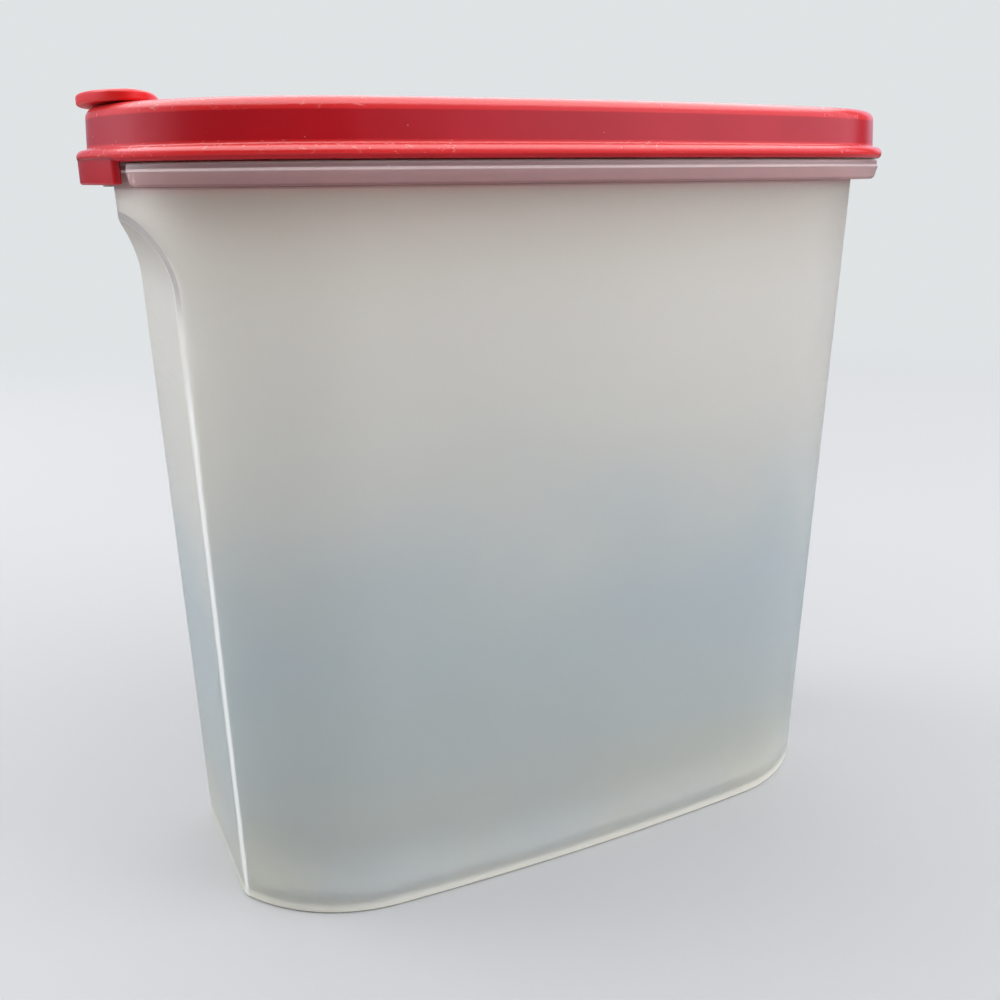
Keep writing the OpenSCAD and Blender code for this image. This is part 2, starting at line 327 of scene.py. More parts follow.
def new_object(name: str, data: bpy.types.ID) -> bpy.types.Object:
    """Makes an object and puts it into the scene.

    Args:
        name: Name of the object.
        data: Its mesh, lamp or camera.

    Returns:
        The object, at the origin.
    """
    made = bpy.data.objects.new(name, data)
    bpy.context.scene.collection.objects.link(made)
    return made


class Moulding:
    """Surfaces gathered into one closed mesh."""

    def __init__(self) -> None:
        """Starts with no surface."""
        self.points: list[Array] = []
        self.faces: list[Array] = []
        self.gaps: list[Array] = []
        self.count = 0

    def _keep(self, points: Array, faces: Array, gap: Array | float) -> None:
        """Adds points and faces whose numbers start at 0.

        Args:
            points: Rows (x, y, z).
            faces: Rows of three or four point numbers.
            gap: Distance of each point from the edge that the material shades, in millimetres.
        """
        if faces.shape[1] == 3:
            faces = np.concatenate([faces, np.full((len(faces), 1), -1 - self.count)], 1)
        self.points.append(points)
        self.faces.append(faces + self.count)
        self.gaps.append(np.broadcast_to(np.asarray(gap, float), (len(points),)))
        self.count += len(points)

    def sheet(self, rows: Sequence[Array], wrap: bool = True, gap: Array | float = 0.0) -> None:
        """Adds the surface through rows of points that all have the same number.

        Args:
            rows: Arrays of points (x, y, z).
            wrap: Whether each row closes on itself.
            gap: Distance of each point from the shaded edge, row after row.
        """
        grid = np.stack(rows)
        faces = grid_faces(*grid.shape[:2], wrap)
        self._keep(grid.reshape(-1, 3), faces, gap if np.isscalar(gap) else np.asarray(gap).ravel())

    def flat(self, *loops: Array) -> None:
        """Adds the flat face inside the first loop and outside the others.

        Args:
            loops: Closed outlines in one plane, as arrays of points (x, y, z).
        """
        polylines = [[Vector(p) for p in loop] for loop in loops]
        triangles = np.array(tessellate_polygon(polylines), int).reshape(-1, 3)
        self._keep(np.concatenate(loops), triangles, 0.0)

    def tube(self, axis_start: Array, axis_end: Array, radius: float) -> None:
        """Adds a closed round bar between two points that differ in Y only.

        Args:
            axis_start: One end of the axis.
            axis_end: The other end.
            radius: Radius of the bar.
        """
        start, end = self.ring_y(axis_start, radius), self.ring_y(axis_end, radius)
        self.sheet([start, end])
        self.flat(start)
        self.flat(end)

    @staticmethod
    def ring_y(centre: Array, radius: float) -> Array:
        """A circle about an axis along Y.

        Args:
            centre: Middle of the circle.
            radius: Radius of the circle.

        Returns:
            Rows (x, y, z).
        """
        circle = polar(radius, np.linspace(0, 2 * math.pi, TUBE_STEPS, endpoint=False))
        y = np.full(TUBE_STEPS, centre[1])
        return np.stack([centre[0] + circle[:, 0], y, centre[2] + circle[:, 1]], 1)

    def build(self, name: str) -> bpy.types.Object:
        """Welds the surfaces into one mesh whose faces point outwards.

        Args:
            name: Name of the object.

        Returns:
            The object, at the origin.
        """
        points = np.concatenate(self.points)
        faces = np.concatenate(self.faces)
        keys = np.round(points / WELD).astype(np.int64)
        _, first, inverse = np.unique(keys, axis=0, return_index=True, return_inverse=True)
        inverse = inverse.reshape(-1)
        faces = np.where(faces < 0, -1, inverse[np.clip(faces, 0, None)])
        mesh = new_mesh(name, points[first], faces)
        gap = mesh.attributes.new("edge", "FLOAT", "POINT")
        gap.data.foreach_set("value", np.concatenate(self.gaps)[first].astype(np.float32))
        self._orient(mesh)
        shape = new_object(name, mesh)
        weighted = shape.modifiers.new("weighted normals", "WEIGHTED_NORMAL")
        weighted.keep_sharp = True
        weighted.weight = NORMAL_WEIGHT
        return shape

    @staticmethod
    def _orient(mesh: bpy.types.Mesh) -> None:
        """Turns the faces outwards, shades them smooth and marks the sharp edges.

        Args:
            mesh: The welded mesh.
        """
        body = bmesh.new()
        body.from_mesh(mesh)
        bmesh.ops.recalc_face_normals(body, faces=body.faces)
        body.to_mesh(mesh)
        body.free()
        mesh.shade_smooth()
        mesh.set_sharp_from_angle(angle=SHARP_ANGLE)
        edges = np.empty(len(mesh.loops), np.int32)
        mesh.loops.foreach_get("edge_index", edges)
        open_edges = np.count_nonzero(np.bincount(edges, minlength=len(mesh.edges)) != 2)
        LOG.info("%s: %d faces, %d open edges", mesh.name, len(mesh.polygons), open_edges)


# ---------------------------------------------------------------- materials


class Wire:
    """A number on its way through a material. Python's arithmetic on it adds Math nodes."""

    def __init__(self, graph: "Graph", socket: bpy.types.NodeSocket) -> None:
        """Wraps an output socket of the graph."""
        self.graph = graph
        self.socket = socket

    def math(
        self, operation: str, *others: "Wire | float", first: "Wire | float | None" = None
    ) -> "Wire":
        """Adds one Math node.

        Args:
            operation: The node's operation.
            others: Its second and third values.
            first: Its first value, this wire if None.

        Returns:
            The node's value.
        """
        values = [self if first is None else first, *others]
        return self.graph.value("ShaderNodeMath", {"operation": operation}, dict(enumerate(values)))

    def __add__(self, other: "Wire | float") -> "Wire":
        """This plus other."""
        return self.math("ADD", other)

    __radd__ = __add__

    def __mul__(self, other: "Wire | float") -> "Wire":
        """This times other."""
        return self.math("MULTIPLY", other)

    __rmul__ = __mul__

    def __sub__(self, other: "Wire | float") -> "Wire":
        """This less other."""
        return self.math("SUBTRACT", other)

    def __rsub__(self, other: "Wire | float") -> "Wire":
        """Other less this."""
        return self.math("SUBTRACT", self, first=other)

    def __truediv__(self, other: "Wire | float") -> "Wire":
        """This over other."""
        return self.math("DIVIDE", other)

    def __rtruediv__(self, other: "Wire | float") -> "Wire":
        """Other over this."""
        return self.math("DIVIDE", self, first=other)

    def most(self, other: "Wire | float") -> "Wire":
        """The greater of this and other."""
        return self.math("MAXIMUM", other)

    def least(self, other: "Wire | float") -> "Wire":
        """The smaller of this and other."""
        return self.math("MINIMUM", other)

    def ramp(self, low: float, high: float) -> "Wire":
        """A smooth step from 0 at low to 1 at high.

        Args:
            low: Value that gives 0.
            high: Value that gives 1.

        Returns:
            The step's value.
        """
        settings = {"interpolation_type": "SMOOTHSTEP"}
        inputs = {"Value": self, "From Min": low, "From Max": high}
        return self.graph.value("ShaderNodeMapRange", settings, inputs)

    def fall(self, low: float, high: float) -> "Wire":
        """A smooth step from 1 at low to 0 at high."""
        return 1 - self.ramp(low, high)

    def band(self, low: float, high: float, soft: float) -> "Wire":
        """1 between low and high, with soft borders.

        Args:
            low: Lower border.
            high: Upper border.
            soft: Width over which each border fades outwards.

        Returns:
            The band's value.
        """
        return self.ramp(low - soft, low) * self.fall(high, high + soft)


class Graph:
    """The node tree of a material or the world."""

    def __init__(self, tree: bpy.types.NodeTree) -> None:
        """Empties the tree."""
        self.tree = tree
        tree.nodes.clear()

    def node(
        self,
        kind: str,
        settings: dict[str, object] | None = None,
        inputs: dict[object, object] | None = None,
    ) -> bpy.types.Node:
        """Adds a node.

        Args:
            kind: The node's type.
            settings: Its properties, set first.
            inputs: Value or link of each of its sockets, by name or number.

        Returns:
            The node.
        """
        made = self.tree.nodes.new(kind)
        for name, setting in (settings or {}).items():
            setattr(made, name, setting)
        for name, value in (inputs or {}).items():
            target = made.inputs[name]
            if isinstance(value, Wire):
                self.tree.links.new(value.socket, target)
            elif isinstance(value, bpy.types.NodeSocket):
                self.tree.links.new(value, target)
            elif target.type == "RGBA":
                target.default_value = (*value, 1.0)
            else:
                target.default_value = value
        return made

    def value(
        self,
        kind: str,
        settings: dict[str, object] | None = None,
        inputs: dict[object, object] | None = None,
        output: str | int = 0,
    ) -> Wire:
        """Adds a node and gives one of its outputs as a number."""
        return Wire(self, self.node(kind, settings, inputs).outputs[output])

    def blend(self, factor: Wire | float, a: object, b: object) -> bpy.types.NodeSocket:
        """A colour between a and b.

        Args:
            factor: 0 gives a and 1 gives b.
            a: Colour or colour socket.
            b: Colour or colour socket.

        Returns:
            The mixed colour's socket.
        """
        settings = {"data_type": "RGBA", "clamp_factor": True}
        made = self.node("ShaderNodeMix", settings, {0: factor, 6: a, 7: b})
        return made.outputs[2]

    def layers(self, colour: object, coats: Sequence[tuple[Wire, "Coat"]]) -> object:
        """A colour with coats of other colours over it, one after the other.

        Args:
            colour: The colour below, or its socket.
            coats: Where each coat lies, 0 to 1, and the coat.

        Returns:
            The socket of the covered colour.
        """
        for mask, coat in coats:
            colour = self.blend(mask * coat.share, colour, coat.colour)
        return colour

    def between(self, factor: Wire, a: bpy.types.Node, b: bpy.types.Node) -> bpy.types.Node:
        """A mix of two shaders.

        Args:
            factor: 0 gives a and 1 gives b.
            a: Shader node.
            b: Shader node.

        Returns:
            The mixed shader's node.
        """
        inputs = {0: factor, 1: a.outputs[0], 2: b.outputs[0]}
        return self.node("ShaderNodeMixShader", None, inputs)

    def parts(self, vector: bpy.types.NodeSocket) -> tuple[Wire, Wire, Wire]:
        """The three numbers of a vector."""
        outputs = self.node("ShaderNodeSeparateXYZ", None, {0: vector}).outputs
        return Wire(self, outputs[0]), Wire(self, outputs[1]), Wire(self, outputs[2])

    def place(self, kind: str = "Object") -> tuple[bpy.types.NodeSocket, Wire, Wire, Wire]:
        """Coordinates as a vector and as three numbers."""
        at = self.node("ShaderNodeTexCoord").outputs[kind]
        return at, *self.parts(at)

    def ray(self, kind: str) -> Wire:
        """1 for the rays of a kind, such as Is Camera Ray, and 0 for others."""
        return self.value("ShaderNodeLightPath", output=kind)

    def stretched(
        self, at: bpy.types.NodeSocket, scale: Point, turn: Point = (0.0, 0.0, 0.0)
    ) -> bpy.types.NodeSocket:
        """Coordinates turned and scaled along each axis.

        Args:
            at: Coordinates.
            scale: Factor along each axis.
            turn: Rotation about each axis, in radians.

        Returns:
            The socket of the new coordinates.
        """
        inputs = {"Vector": at, "Rotation": turn, "Scale": scale}
        return self.node("ShaderNodeMapping", {"vector_type": "POINT"}, inputs).outputs[0]

    def noise(
        self,
        at: bpy.types.NodeSocket,
        scale: float,
        detail: float = 3.0,
        rough: float = 0.5,
        warp: float = 0.0,
    ) -> Wire:
        """Fractal noise about 0.5.

        Args:
            at: Coordinates.
            scale: Waves for each metre.
            detail: Octaves.
            rough: Strength of the finer octaves.
            warp: Distortion.

        Returns:
            The noise's value.
        """
        inputs = {"Vector": at, "Scale": scale, "Detail": detail}
        inputs |= {"Roughness": rough, "Distortion": warp}
        return self.value("ShaderNodeTexNoise", None, inputs)

    def specks(self, at: bpy.types.NodeSocket, scale: float, size: float) -> Wire:
        """Small round dots, one in each cell of a random lattice.

        Args:
            at: Coordinates.
            scale: Cells for each metre.
            size: Radius of a dot as a share of its cell.

        Returns:
            1 in a dot and 0 elsewhere.
        """
        inputs = {"Vector": at, "Scale": scale}
        distance = self.value("ShaderNodeTexVoronoi", {"feature": "F1"}, inputs, "Distance")
        return distance.fall(size / 2, size)

    def bump(self, height: Wire, distance: float, strength: float) -> bpy.types.NodeSocket:
        """The normal of a surface with small relief.

        Args:
            height: Relief, 0 to 1.
            distance: Height of the relief in metres.
            strength: How much of it shows.

        Returns:
            The normal's socket.
        """
        inputs = {"Height": height, "Distance": distance, "Strength": strength}
        return self.node("ShaderNodeBump", None, inputs).outputs[0]

    def surface(self, shader: bpy.types.Node, kind: str = "ShaderNodeOutputMaterial") -> None:
        """Ends the tree in a shader."""
        self.node(kind, None, {"Surface": shader.outputs[0]})


def new_material(name: str) -> tuple[bpy.types.Material, Graph]:
    """Makes a node material with nothing in it.

    Args:
        name: Name of the material.

    Returns:
        The material and its graph.
    """
    material = bpy.data.materials.new(name)
    material.use_nodes = True
    return material, Graph(material.node_tree)


@dataclass(frozen=True)
class Coat:
    """A colour over a plastic, how much of it covers, and how opaque it makes the plastic."""

    colour: Colour
    share: float = 1.0
    dense: float = 0.0


@dataclass(frozen=True)
class FrostedPlastic:
    """Milky translucent plastic with a satin face, fine specks, creamier thick edges, and painted
    light and shade.

    Spans and bands are heights, but for those of clouds, scratches and dust, which are values of
    their noises, and the band beside the recess's edge, which is in millimetres.
    """

    colour: Colour = (0.955, 0.936, 0.892)
    # painted shade: the wall turns cooler and darker towards the bottom, for dark surroundings seen
    # through the plastic
    cool: Coat = Coat((0.80, 0.865, 0.885), 0.95)
    cream: Coat = Coat((0.95, 0.93, 0.80), 0.22)
    corner: Coat = Coat((0.95, 0.93, 0.80), 0.6)
    # painted light: a warm tint below the rim, for the red plug's light showing through the wall
    painted_plug_glow: Coat = Coat((0.91, 0.865, 0.79))
    # painted light: a red tint on the rim, for the red lid's light showing through it and reflected
    # in it
    stain: Coat = Coat((0.92, 0.63, 0.62))
    foot: Coat = Coat((0.90, 0.87, 0.74), 0.8, 0.8)
    # painted highlight along the recess's rounded edge, where the thicker plastic is also denser
    line: Coat = Coat((0.94, 0.955, 0.91), 0.9, 0.95)
    # painted shade: a dark band beside the recess's edge along the arch
    shade: Coat = Coat((0.30, 0.27, 0.28), 0.65, 0.6)
    # painted shade: a dark band along the rim's lower edge
    rolled: Coat = Coat((0.42, 0.20, 0.20), 0.5)
    # painted highlight: a pale band across the rim's face, below its top
    painted_rim_highlight: Coat = Coat((0.94, 0.955, 0.91), 0.35, 0.3)
    speck: Coat = Coat((0.97, 0.97, 0.95), 0.55, 0.4)
    skirt_dense: float = 0.22
    lint_share: float = 0.6
    cool_span: Span = (0.36 * WALL_HEIGHT, 0.70 * WALL_HEIGHT)
    cool_low_span: Span = (0.08 * WALL_HEIGHT, 0.33 * WALL_HEIGHT)
    cool_low: float = 0.65
    cool_sway: float = 0.05
    cream_from: float = 0.35
    corner_span: Span = (0.0, 0.25 * WALL_HEIGHT)
    corner_cloud: Span = (0.42, 0.7)
    warm_span: Span = (WALL_HEIGHT - 30.0 * MM, WALL_HEIGHT)
    rim_span: Span = (WALL_HEIGHT - 4.0 * MM, WALL_HEIGHT + 1.0 * MM)
    rim_top_span: Span = (WALL_HEIGHT + 4.6 * MM, WALL_HEIGHT + 5.1 * MM)
    roll_band: Band = (WALL_HEIGHT - 0.3 * MM, WALL_HEIGHT + 0.5 * MM, 0.3 * MM)
    painted_rim_highlight_band: Band = (WALL_HEIGHT + 3.3 * MM, WALL_HEIGHT + 3.8 * MM, 0.25 * MM)
    foot_span: Span = (1.0 * MM, 5.0 * MM)
    skirt_span: Span = (5.0 * MM, 25.0 * MM)
    edge_band: Band = (0.0, 1.75, 0.3)
    line_span: Span = (138.0 * MM, 160.0 * MM)
    shade_span: Span = (156.0 * MM, 168.0 * MM)
    clouds: Noise = (22.0, 4.0, 0.6)
    grain: Noise = (900.0, 3.0, 0.6)
    scratches: Noise = (40.0, 2.0, 0.4)
    scratch_stretch: Point = (1.0, 1.0, 24.0)
    scratch_turn: Point = (0.15, 0.1, 0.0)
    scratch_span: Span = (0.68, 0.74)
    dust_dots: Dots = (170.0, 0.055)
    dust_scale: float = 60.0
    dust_span: Span = (0.5, 0.62)
    lint_dots: Dots = (120.0, 0.05)
    lint_stretch: Point = (1.0, 1.0, 0.22)
    lint_turn: Point = (0.5, 0.9, 0.3)
    roughness: float = 0.48
    cloud_rough: float = 0.16
    fine_rough: float = 0.08
    rim_gloss: float = 0.12
    grain_relief: float = 0.5
    relief: float = 0.015 * MM
    relief_share: float = 0.25
    through: float = 0.80
    through_thick: float = 0.1
    index: float = 1.45

    def _tones(self, z: Wire, cloud: Wire, rim: Wire) -> list[tuple[Wire, Coat]]:
        """The slow changes of colour: painted shade low down, creamy clouds, painted red light at the
        rim.

        Args:
            z: Height.
            cloud: Slow noise.
            rim: 1 on the rim and 0 below it.

        Returns:
            Where each coat lies, and the coat.
        """
        uneven = z + (cloud - 0.5) * self.cool_sway
        paler = self.cool_low + uneven.ramp(*self.cool_low_span) * (1 - self.cool_low)
        return [
            # painted: the shade low down and the red light at and below the rim; the cream clouds and
            # the foot's corner are the plastic's own
            (uneven.fall(*self.cool_span) * paler, self.cool),
            (cloud - self.cream_from, self.cream),
            (z.fall(*self.corner_span) * cloud.ramp(*self.corner_cloud), self.corner),
            (z.ramp(*self.warm_span), self.painted_plug_glow),
            (rim * rim * z.fall(*self.rim_top_span), self.stain),
        ]

    def _marks(self, graph: Graph, z: Wire) -> list[tuple[Wire, Coat]]:
        """The narrow marks: the creamy foot, and painted highlights and shade by the recess and on
        the rim.

        Args:
            graph: The material's graph.
            z: Height.

        Returns:
            Where each coat lies, and the coat.
        """
        gap = graph.value("ShaderNodeAttribute", {"attribute_name": "edge"}, None, "Fac")
        beside = gap.band(*self.edge_band)
        return [
            # the foot's band is the plastic's own; the rest are painted highlights along the recess's
            # edge and across the rim, and painted shade along the arch and under the rim
            (z.fall(*self.foot_span), self.foot),
            (beside * z.fall(*self.line_span), self.line),
            (beside * z.ramp(*self.shade_span), self.shade),
            (z.band(*self.roll_band), self.rolled),
            (z.band(*self.painted_rim_highlight_band), self.painted_rim_highlight),
        ]

    def _specks(self, graph: Graph, at: bpy.types.NodeSocket) -> tuple[Wire, Wire]:
        """Round dust in patches, and longer lint.

        Args:
            graph: The material's graph.
            at: Coordinates.

        Returns:
            Where the dust lies and where the lint lies.
        """
        patches = graph.noise(at, self.dust_scale).ramp(*self.dust_span)
        along = graph.stretched(at, self.lint_stretch, self.lint_turn)
        return graph.specks(at, *self.dust_dots) * patches, graph.specks(along, *self.lint_dots)

    def material(self, name: str) -> bpy.types.Material:
        """Builds the material: a clear plastic, and a denser one where the coats say so.

        Args:
            name: Name of the material.

        Returns:
            The material.
        """
        made, graph = new_material(name)
        at, _, _, z = graph.place()
        cloud = graph.noise(at, *self.clouds)
        fine = graph.noise(at, *self.grain)
        rim = z.ramp(*self.rim_span)
        marks = self._marks(graph, z)
        dust, lint = self._specks(graph, at)
        flecks = (dust.most(lint * self.lint_share), self.speck)
        along = graph.stretched(at, self.scratch_stretch, self.scratch_turn)
        scratch = graph.noise(along, *self.scratches).ramp(*self.scratch_span)
        rough = self.roughness + (cloud - 0.5) * self.cloud_rough
        rough = rough + (fine - 0.5 + scratch) * self.fine_rough - rim * self.rim_gloss
        relief = fine * self.grain_relief + cloud
        face = {
            "Base Color": graph.layers(self.colour, [*self._tones(z, cloud, rim), *marks, flecks]),
            "Roughness": rough,
            "IOR": self.index,
            "Normal": graph.bump(relief, self.relief, self.relief_share),
        }
        clear, solid = (
            graph.node("ShaderNodeBsdfPrincipled", None, {**face, "Transmission Weight": through})
            for through in (self.through, self.through_thick)
        )
        dense = [mask * coat.dense for mask, coat in marks if coat.dense]
        dense += [z.fall(*self.skirt_span) * self.skirt_dense, dust.most(lint) * self.speck.dense]
        graph.surface(graph.between(reduce(Wire.most, dense), clear, solid))
        return made


@dataclass(frozen=True)
class SatinPlastic:
    """Opaque moulded plastic with a satin face, fine grain, and a painted highlight and pale scuff
    marks on its high edges.
    """

    colour: Colour = (0.48, 0.008, 0.015)
    deep: Colour = (0.42, 0.005, 0.010)
    # painted highlight: a lighter red along the top edges of the dome and the bead
    worn: Coat = Coat((0.74, 0.03, 0.028), 0.8)
    scuff: Coat = Coat((0.80, 0.52, 0.48), 0.45)
    high_edges: tuple[Span, ...] = ()
    edge_soft: float = 0.5 * MM
    clouds: Noise = (30.0, 4.0, 0.55)
    cloud_span: Span = (0.3, 0.7)
    grain: Noise = (3200.0, 2.0, 0.5)
    chalk: Noise = (420.0, 6.0, 0.72, 0.8)
    chalk_stretch: Point = (1.0, 1.0, 2.2)
    chalk_span: Span = (0.56, 0.70)
    patches: Noise = (38.0, 2.0, 0.5)
    patch_span: Span = (0.5, 0.62)
    dots: Dots = (260.0, 0.06)
    dot_scale: float = 90.0
    dot_span: Span = (0.48, 0.6)
    dot_share: float = 0.5
    roughness: float = 0.23
    cloud_rough: float = 0.10
    grain_rough: float = 0.03
    scuff_rough: float = 0.2
    cloud_relief: float = 0.6
    grain_relief: float = 0.4
    scuff_relief: float = 0.8
    relief: float = 0.02 * MM
    relief_share: float = 0.25
    specular: float = 0.5
    soft: float = 0.5
    soft_radius: Colour = (1.0, 0.25, 0.2)
    soft_depth: float = 2.5 * MM

    def material(self, name: str) -> bpy.types.Material:
        """Builds the material.

        Args:
            name: Name of the material.

        Returns:
            The material.
        """
        made, graph = new_material(name)
        at, _, _, z = graph.place()
        cloud = graph.noise(at, *self.clouds)
        grain = graph.noise(at, *self.grain)
        chalk = graph.noise(graph.stretched(at, self.chalk_stretch), *self.chalk)
        # the pattern of the real scuff marks
        worn = chalk.ramp(*self.chalk_span) * graph.noise(at, *self.patches).ramp(*self.patch_span)
        dots = graph.specks(at, *self.dots) * graph.noise(at, self.dot_scale).ramp(*self.dot_span)
        edges = [z.band(low, high, self.edge_soft) for low, high in self.high_edges]
        scuffed = reduce(Wire.most, [edge * worn for edge in edges], dots * self.dot_share)
        colour = graph.blend(cloud.ramp(*self.cloud_span), self.colour, self.deep)
        rough = self.roughness + (cloud - 0.5) * self.cloud_rough
        rough = rough + (grain - 0.5) * self.grain_rough + scuffed * self.scuff_rough
        relief = grain * self.grain_relief + scuffed * self.scuff_relief + cloud * self.cloud_relief
        # the high edges get a painted highlight; the scuff marks and dots are the plastic's own
        tones = [*((edge, self.worn) for edge in edges), (scuffed, self.scuff)]
        inputs = {
            "Base Color": graph.layers(colour, tones),
            "Roughness": rough,
            "Specular IOR Level": self.specular,
            "Subsurface Weight": self.soft,
            "Subsurface Radius": self.soft_radius,
            "Subsurface Scale": self.soft_depth,
            "Normal": graph.bump(relief, self.relief, self.relief_share),
        }
        graph.surface(graph.node("ShaderNodeBsdfPrincipled", None, inputs))
        return made


# ---------------------------------------------------------------- pieces


class Slot(Enum):
    """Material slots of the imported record."""

    CONTAINER = "container_plastic"
    LID = "lid_plastic"


class Piece(ABC):
    """A moulding that stands for the solid of its name and moves with the body of that name."""

    solid: str
    slot: Slot

    @abstractmethod
    def shape(self) -> bpy.types.Object:
        """Builds the piece's mesh."""

    def dress(self, material: bpy.types.Material) -> None:
        """Builds the piece and gives it its material and its place in the frame.

        Args:
            material: Its material.
        """
        piece = self.shape()
        piece.data.materials.append(material)
        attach(piece, self.solid)
        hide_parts(self.solid)
        LOG.info("%s stands for the solid %s", piece.name, self.solid)


# ---------------------------------------------------------------- container


@dataclass
class Container(Piece):
    """The tall tapered oval container with a grip recess in each end and a rolled rim."""

    solid = "container"
    slot = Slot.CONTAINER
    base: Oval = Oval(205.8 * MM, 97.2 * MM, 1.9 * MM)
    mouth: Oval = Oval(213.8 * MM, 116.2 * MM, 4.4 * MM)
    wall_height: float = WALL_HEIGHT
    wall: float = 1.6 * MM
    floor_t: float = 2.2 * MM
    base_edge: float = 0.8 * MM
    floor_edge: float = 4.0 * MM
    foot_width: float = 7.0 * MM
    foot_lift: float = 0.8 * MM
    recess_base: float = 6.2 * MM
    recess_top: float = 6.6 * MM
    recess_gap: float = 7.5 * MM
    flare_r: float = 24.0 * MM
    recess_edge: float = 0.9 * MM
    rim_reach: float = 7.1 * MM
    rim_height: float = 5.2 * MM
    rim_draft: float = 0.5 * MM
    rim_t: float = 1.6 * MM
    rim_edge: tuple[float, float] = (0.6 * MM, 0.6 * MM)
    rim_step: tuple[float, float] = (1.3 * MM, 1.9 * MM)
    rim_step_in: float = 0.35 * MM
    rim_step_rows: int = 13
    rim_foot: tuple[float, float] = (1.3 * MM, 1.6 * MM)
    lip_edge: float = 0.45 * MM
    notch_half: float = 26.0 * MM
    notch_reach: float = 5.2 * MM
    notch_round: float = 0.8 * MM
    least_crowd: float = 0.03
    crowd_margin: float = 1.0 * MM
    edge_far: float = 6.0
    lower_levels: int = 14
    arch_levels: int = 30
    upper_levels: int = 13
    curve_steps: int = 90

    @property
    def rim_top(self) -> float:
        """Height of the rim's top."""
        return self.wall_height + self.rim_height

    @property
    def arch_z(self) -> float:
        """Height at which the recess reaches the wall's end."""
        return self.wall_height - self.recess_gap

    @property
    def flare_z(self) -> float:
        """Height at which the recess starts to curve outwards."""
        return self.arch_z - math.sqrt(2 * self.flare_r * self.recess_top - self.recess_top**2)

    def plan(self, z: Array | float) -> Oval:
        """The wall's outline at a height: base and mouth mixed in step with the height.

        Args:
            z: Height, or heights.

        Returns:
            The outline.
        """
        t = np.minimum(z / self.wall_height, 1.0)
        base, mouth = self.base, self.mouth
        return Oval(
            length=mix(base.length, mouth.length, t),
            width=mix(base.width, mouth.width, t),
            bow=mix(base.bow, mouth.bow, t),
        )

    def recess_x(self, z: Array | float) -> Array | float:
        """Distance of the recess face from the middle.

        Formula: half the length, less the depth, plus R - root(R squared - rise squared) above the
        height at which the face starts to curve.

        Args:
            z: Height, or heights.

        Returns:
            The distance.
        """
        t = np.minimum(z / self.wall_height, 1.0)
        rise = np.clip(z - self.flare_z, 0.0, self.flare_r)
        flare = self.flare_r - np.sqrt(self.flare_r**2 - rise**2)
        depth = mix(self.recess_base, self.recess_top, t)
        return mix(self.base.length, self.mouth.length, t) / 2 - depth + flare

    def edge_angle(self, z: Array | float) -> Array | float:
        """Angle on the end arc at which the recess meets the wall at a height."""
        plan = self.plan(z)
        return np.arccos(np.minimum((self.recess_x(z) - plan.end_x) / plan.end_radius, 1.0))

    def edge_arc(self, z: Array | float) -> Array | float:
        """Distance around the end, from its middle, at which the recess meets the wall."""
        return self.plan(z).end_radius * self.edge_angle(z)

    def crowd(self, z: float) -> float:
        """Angle on the end arc at which the recess's edge, or the rim's notch, lies.

        Args:
            z: Height.

        Returns:
            The angle in radians.
        """
        edge = max(self.edge_angle(z), self.least_crowd)
        notch = math.asin(self.notch_half / (self.plan(z).end_radius + self.rim_reach))
        start, height = self.arch_z + self.crowd_margin, self.recess_gap - 2 * self.crowd_margin
        return mix(edge, notch, eased(min(max((z - start) / height, 0.0), 1.0)))

    @cached_property
    def edge_curve(self) -> Array:
        """The recess's edge on the unrolled wall.

        Returns:
            Rows (distance around the end, height).
        """
        low = np.linspace(0.0, self.flare_z, self.curve_steps, endpoint=False)
        rise = (self.arch_z - self.flare_z) * np.sin(np.linspace(0, math.pi / 2, self.curve_steps))
        height = np.concatenate([low, self.flare_z + rise])
        return np.stack([self.edge_arc(height), height], 1)

    def edge_gap(self, z: float, arc: Array) -> Array:
        """How far each point of a wall ring lies from the recess's edge.

        Formula: the distance to the nearest point of the edge on the unrolled wall, less than 0 on
        the recess's side, in millimetres and held to `edge_far`.

        Args:
            z: Height of the ring.
            arc: Distance of each point around the end, from its middle.

        Returns:
            One distance for each point.
        """
        away = np.stack([arc, np.full(len(arc), z)], 1)[:, None] - self.edge_curve
        gap = np.sqrt((away**2).sum(-1)).min(1)
        inside = (arc < self.edge_arc(z)) & (z < self.arch_z)
        return np.clip(np.where(inside, -gap, gap) / MM, -self.edge_far, self.edge_far)

    def wall_ring(self, z: float, grow: float) -> tuple[Array, Array]:
        """A ring of the wall with both recesses.

        Args:
            z: Height.
            grow: Distance by which the outline is grown.

        Returns:
            Its points, and how far each lies from the recess's edge.
        """
        plan = self.plan(z)
        crowd = self.crowd(z)
        loop = plan.loop(grow, crowd)
        limit = self.recess_x(z) + grow
        along = np.abs(loop[:, 0])
        x = np.sign(loop[:, 0]) * held(along, limit, self.recess_edge)
        gap = self.edge_gap(z, plan.loop_angle(crowd) * plan.end_radius)
        return at_height(np.stack([x, loop[:, 1]], 1), z), gap

    def rim_ring(self, z: float, grow: float, notch_z: float, notch_grow: float) -> Array:
        """A ring of the rim, which gives way to the lid's lift tab at the spout end.

        Args:
            z: Height of the rim's profile point.
            grow: How far it stands out from the wall.
            notch_z: Height of the point inside the notch.
            notch_grow: How far it stands out there.

        Returns:
            Its points.
        """
        crowd = self.crowd(self.wall_height)
        full = self.mouth.loop(grow, crowd)
        small = self.mouth.loop(notch_grow, crowd)
        angle = self.mouth.loop_angle(crowd)
        away = (angle - crowd) * self.mouth.end_radius / self.notch_round
        t = np.clip(1 - away, 0, 1)
        weight = np.where(full[:, 0] < 0, np.sqrt(1 - t * t), 1.0)[:, None]
        return mix(at_height(small, notch_z), at_height(full, z), weight)

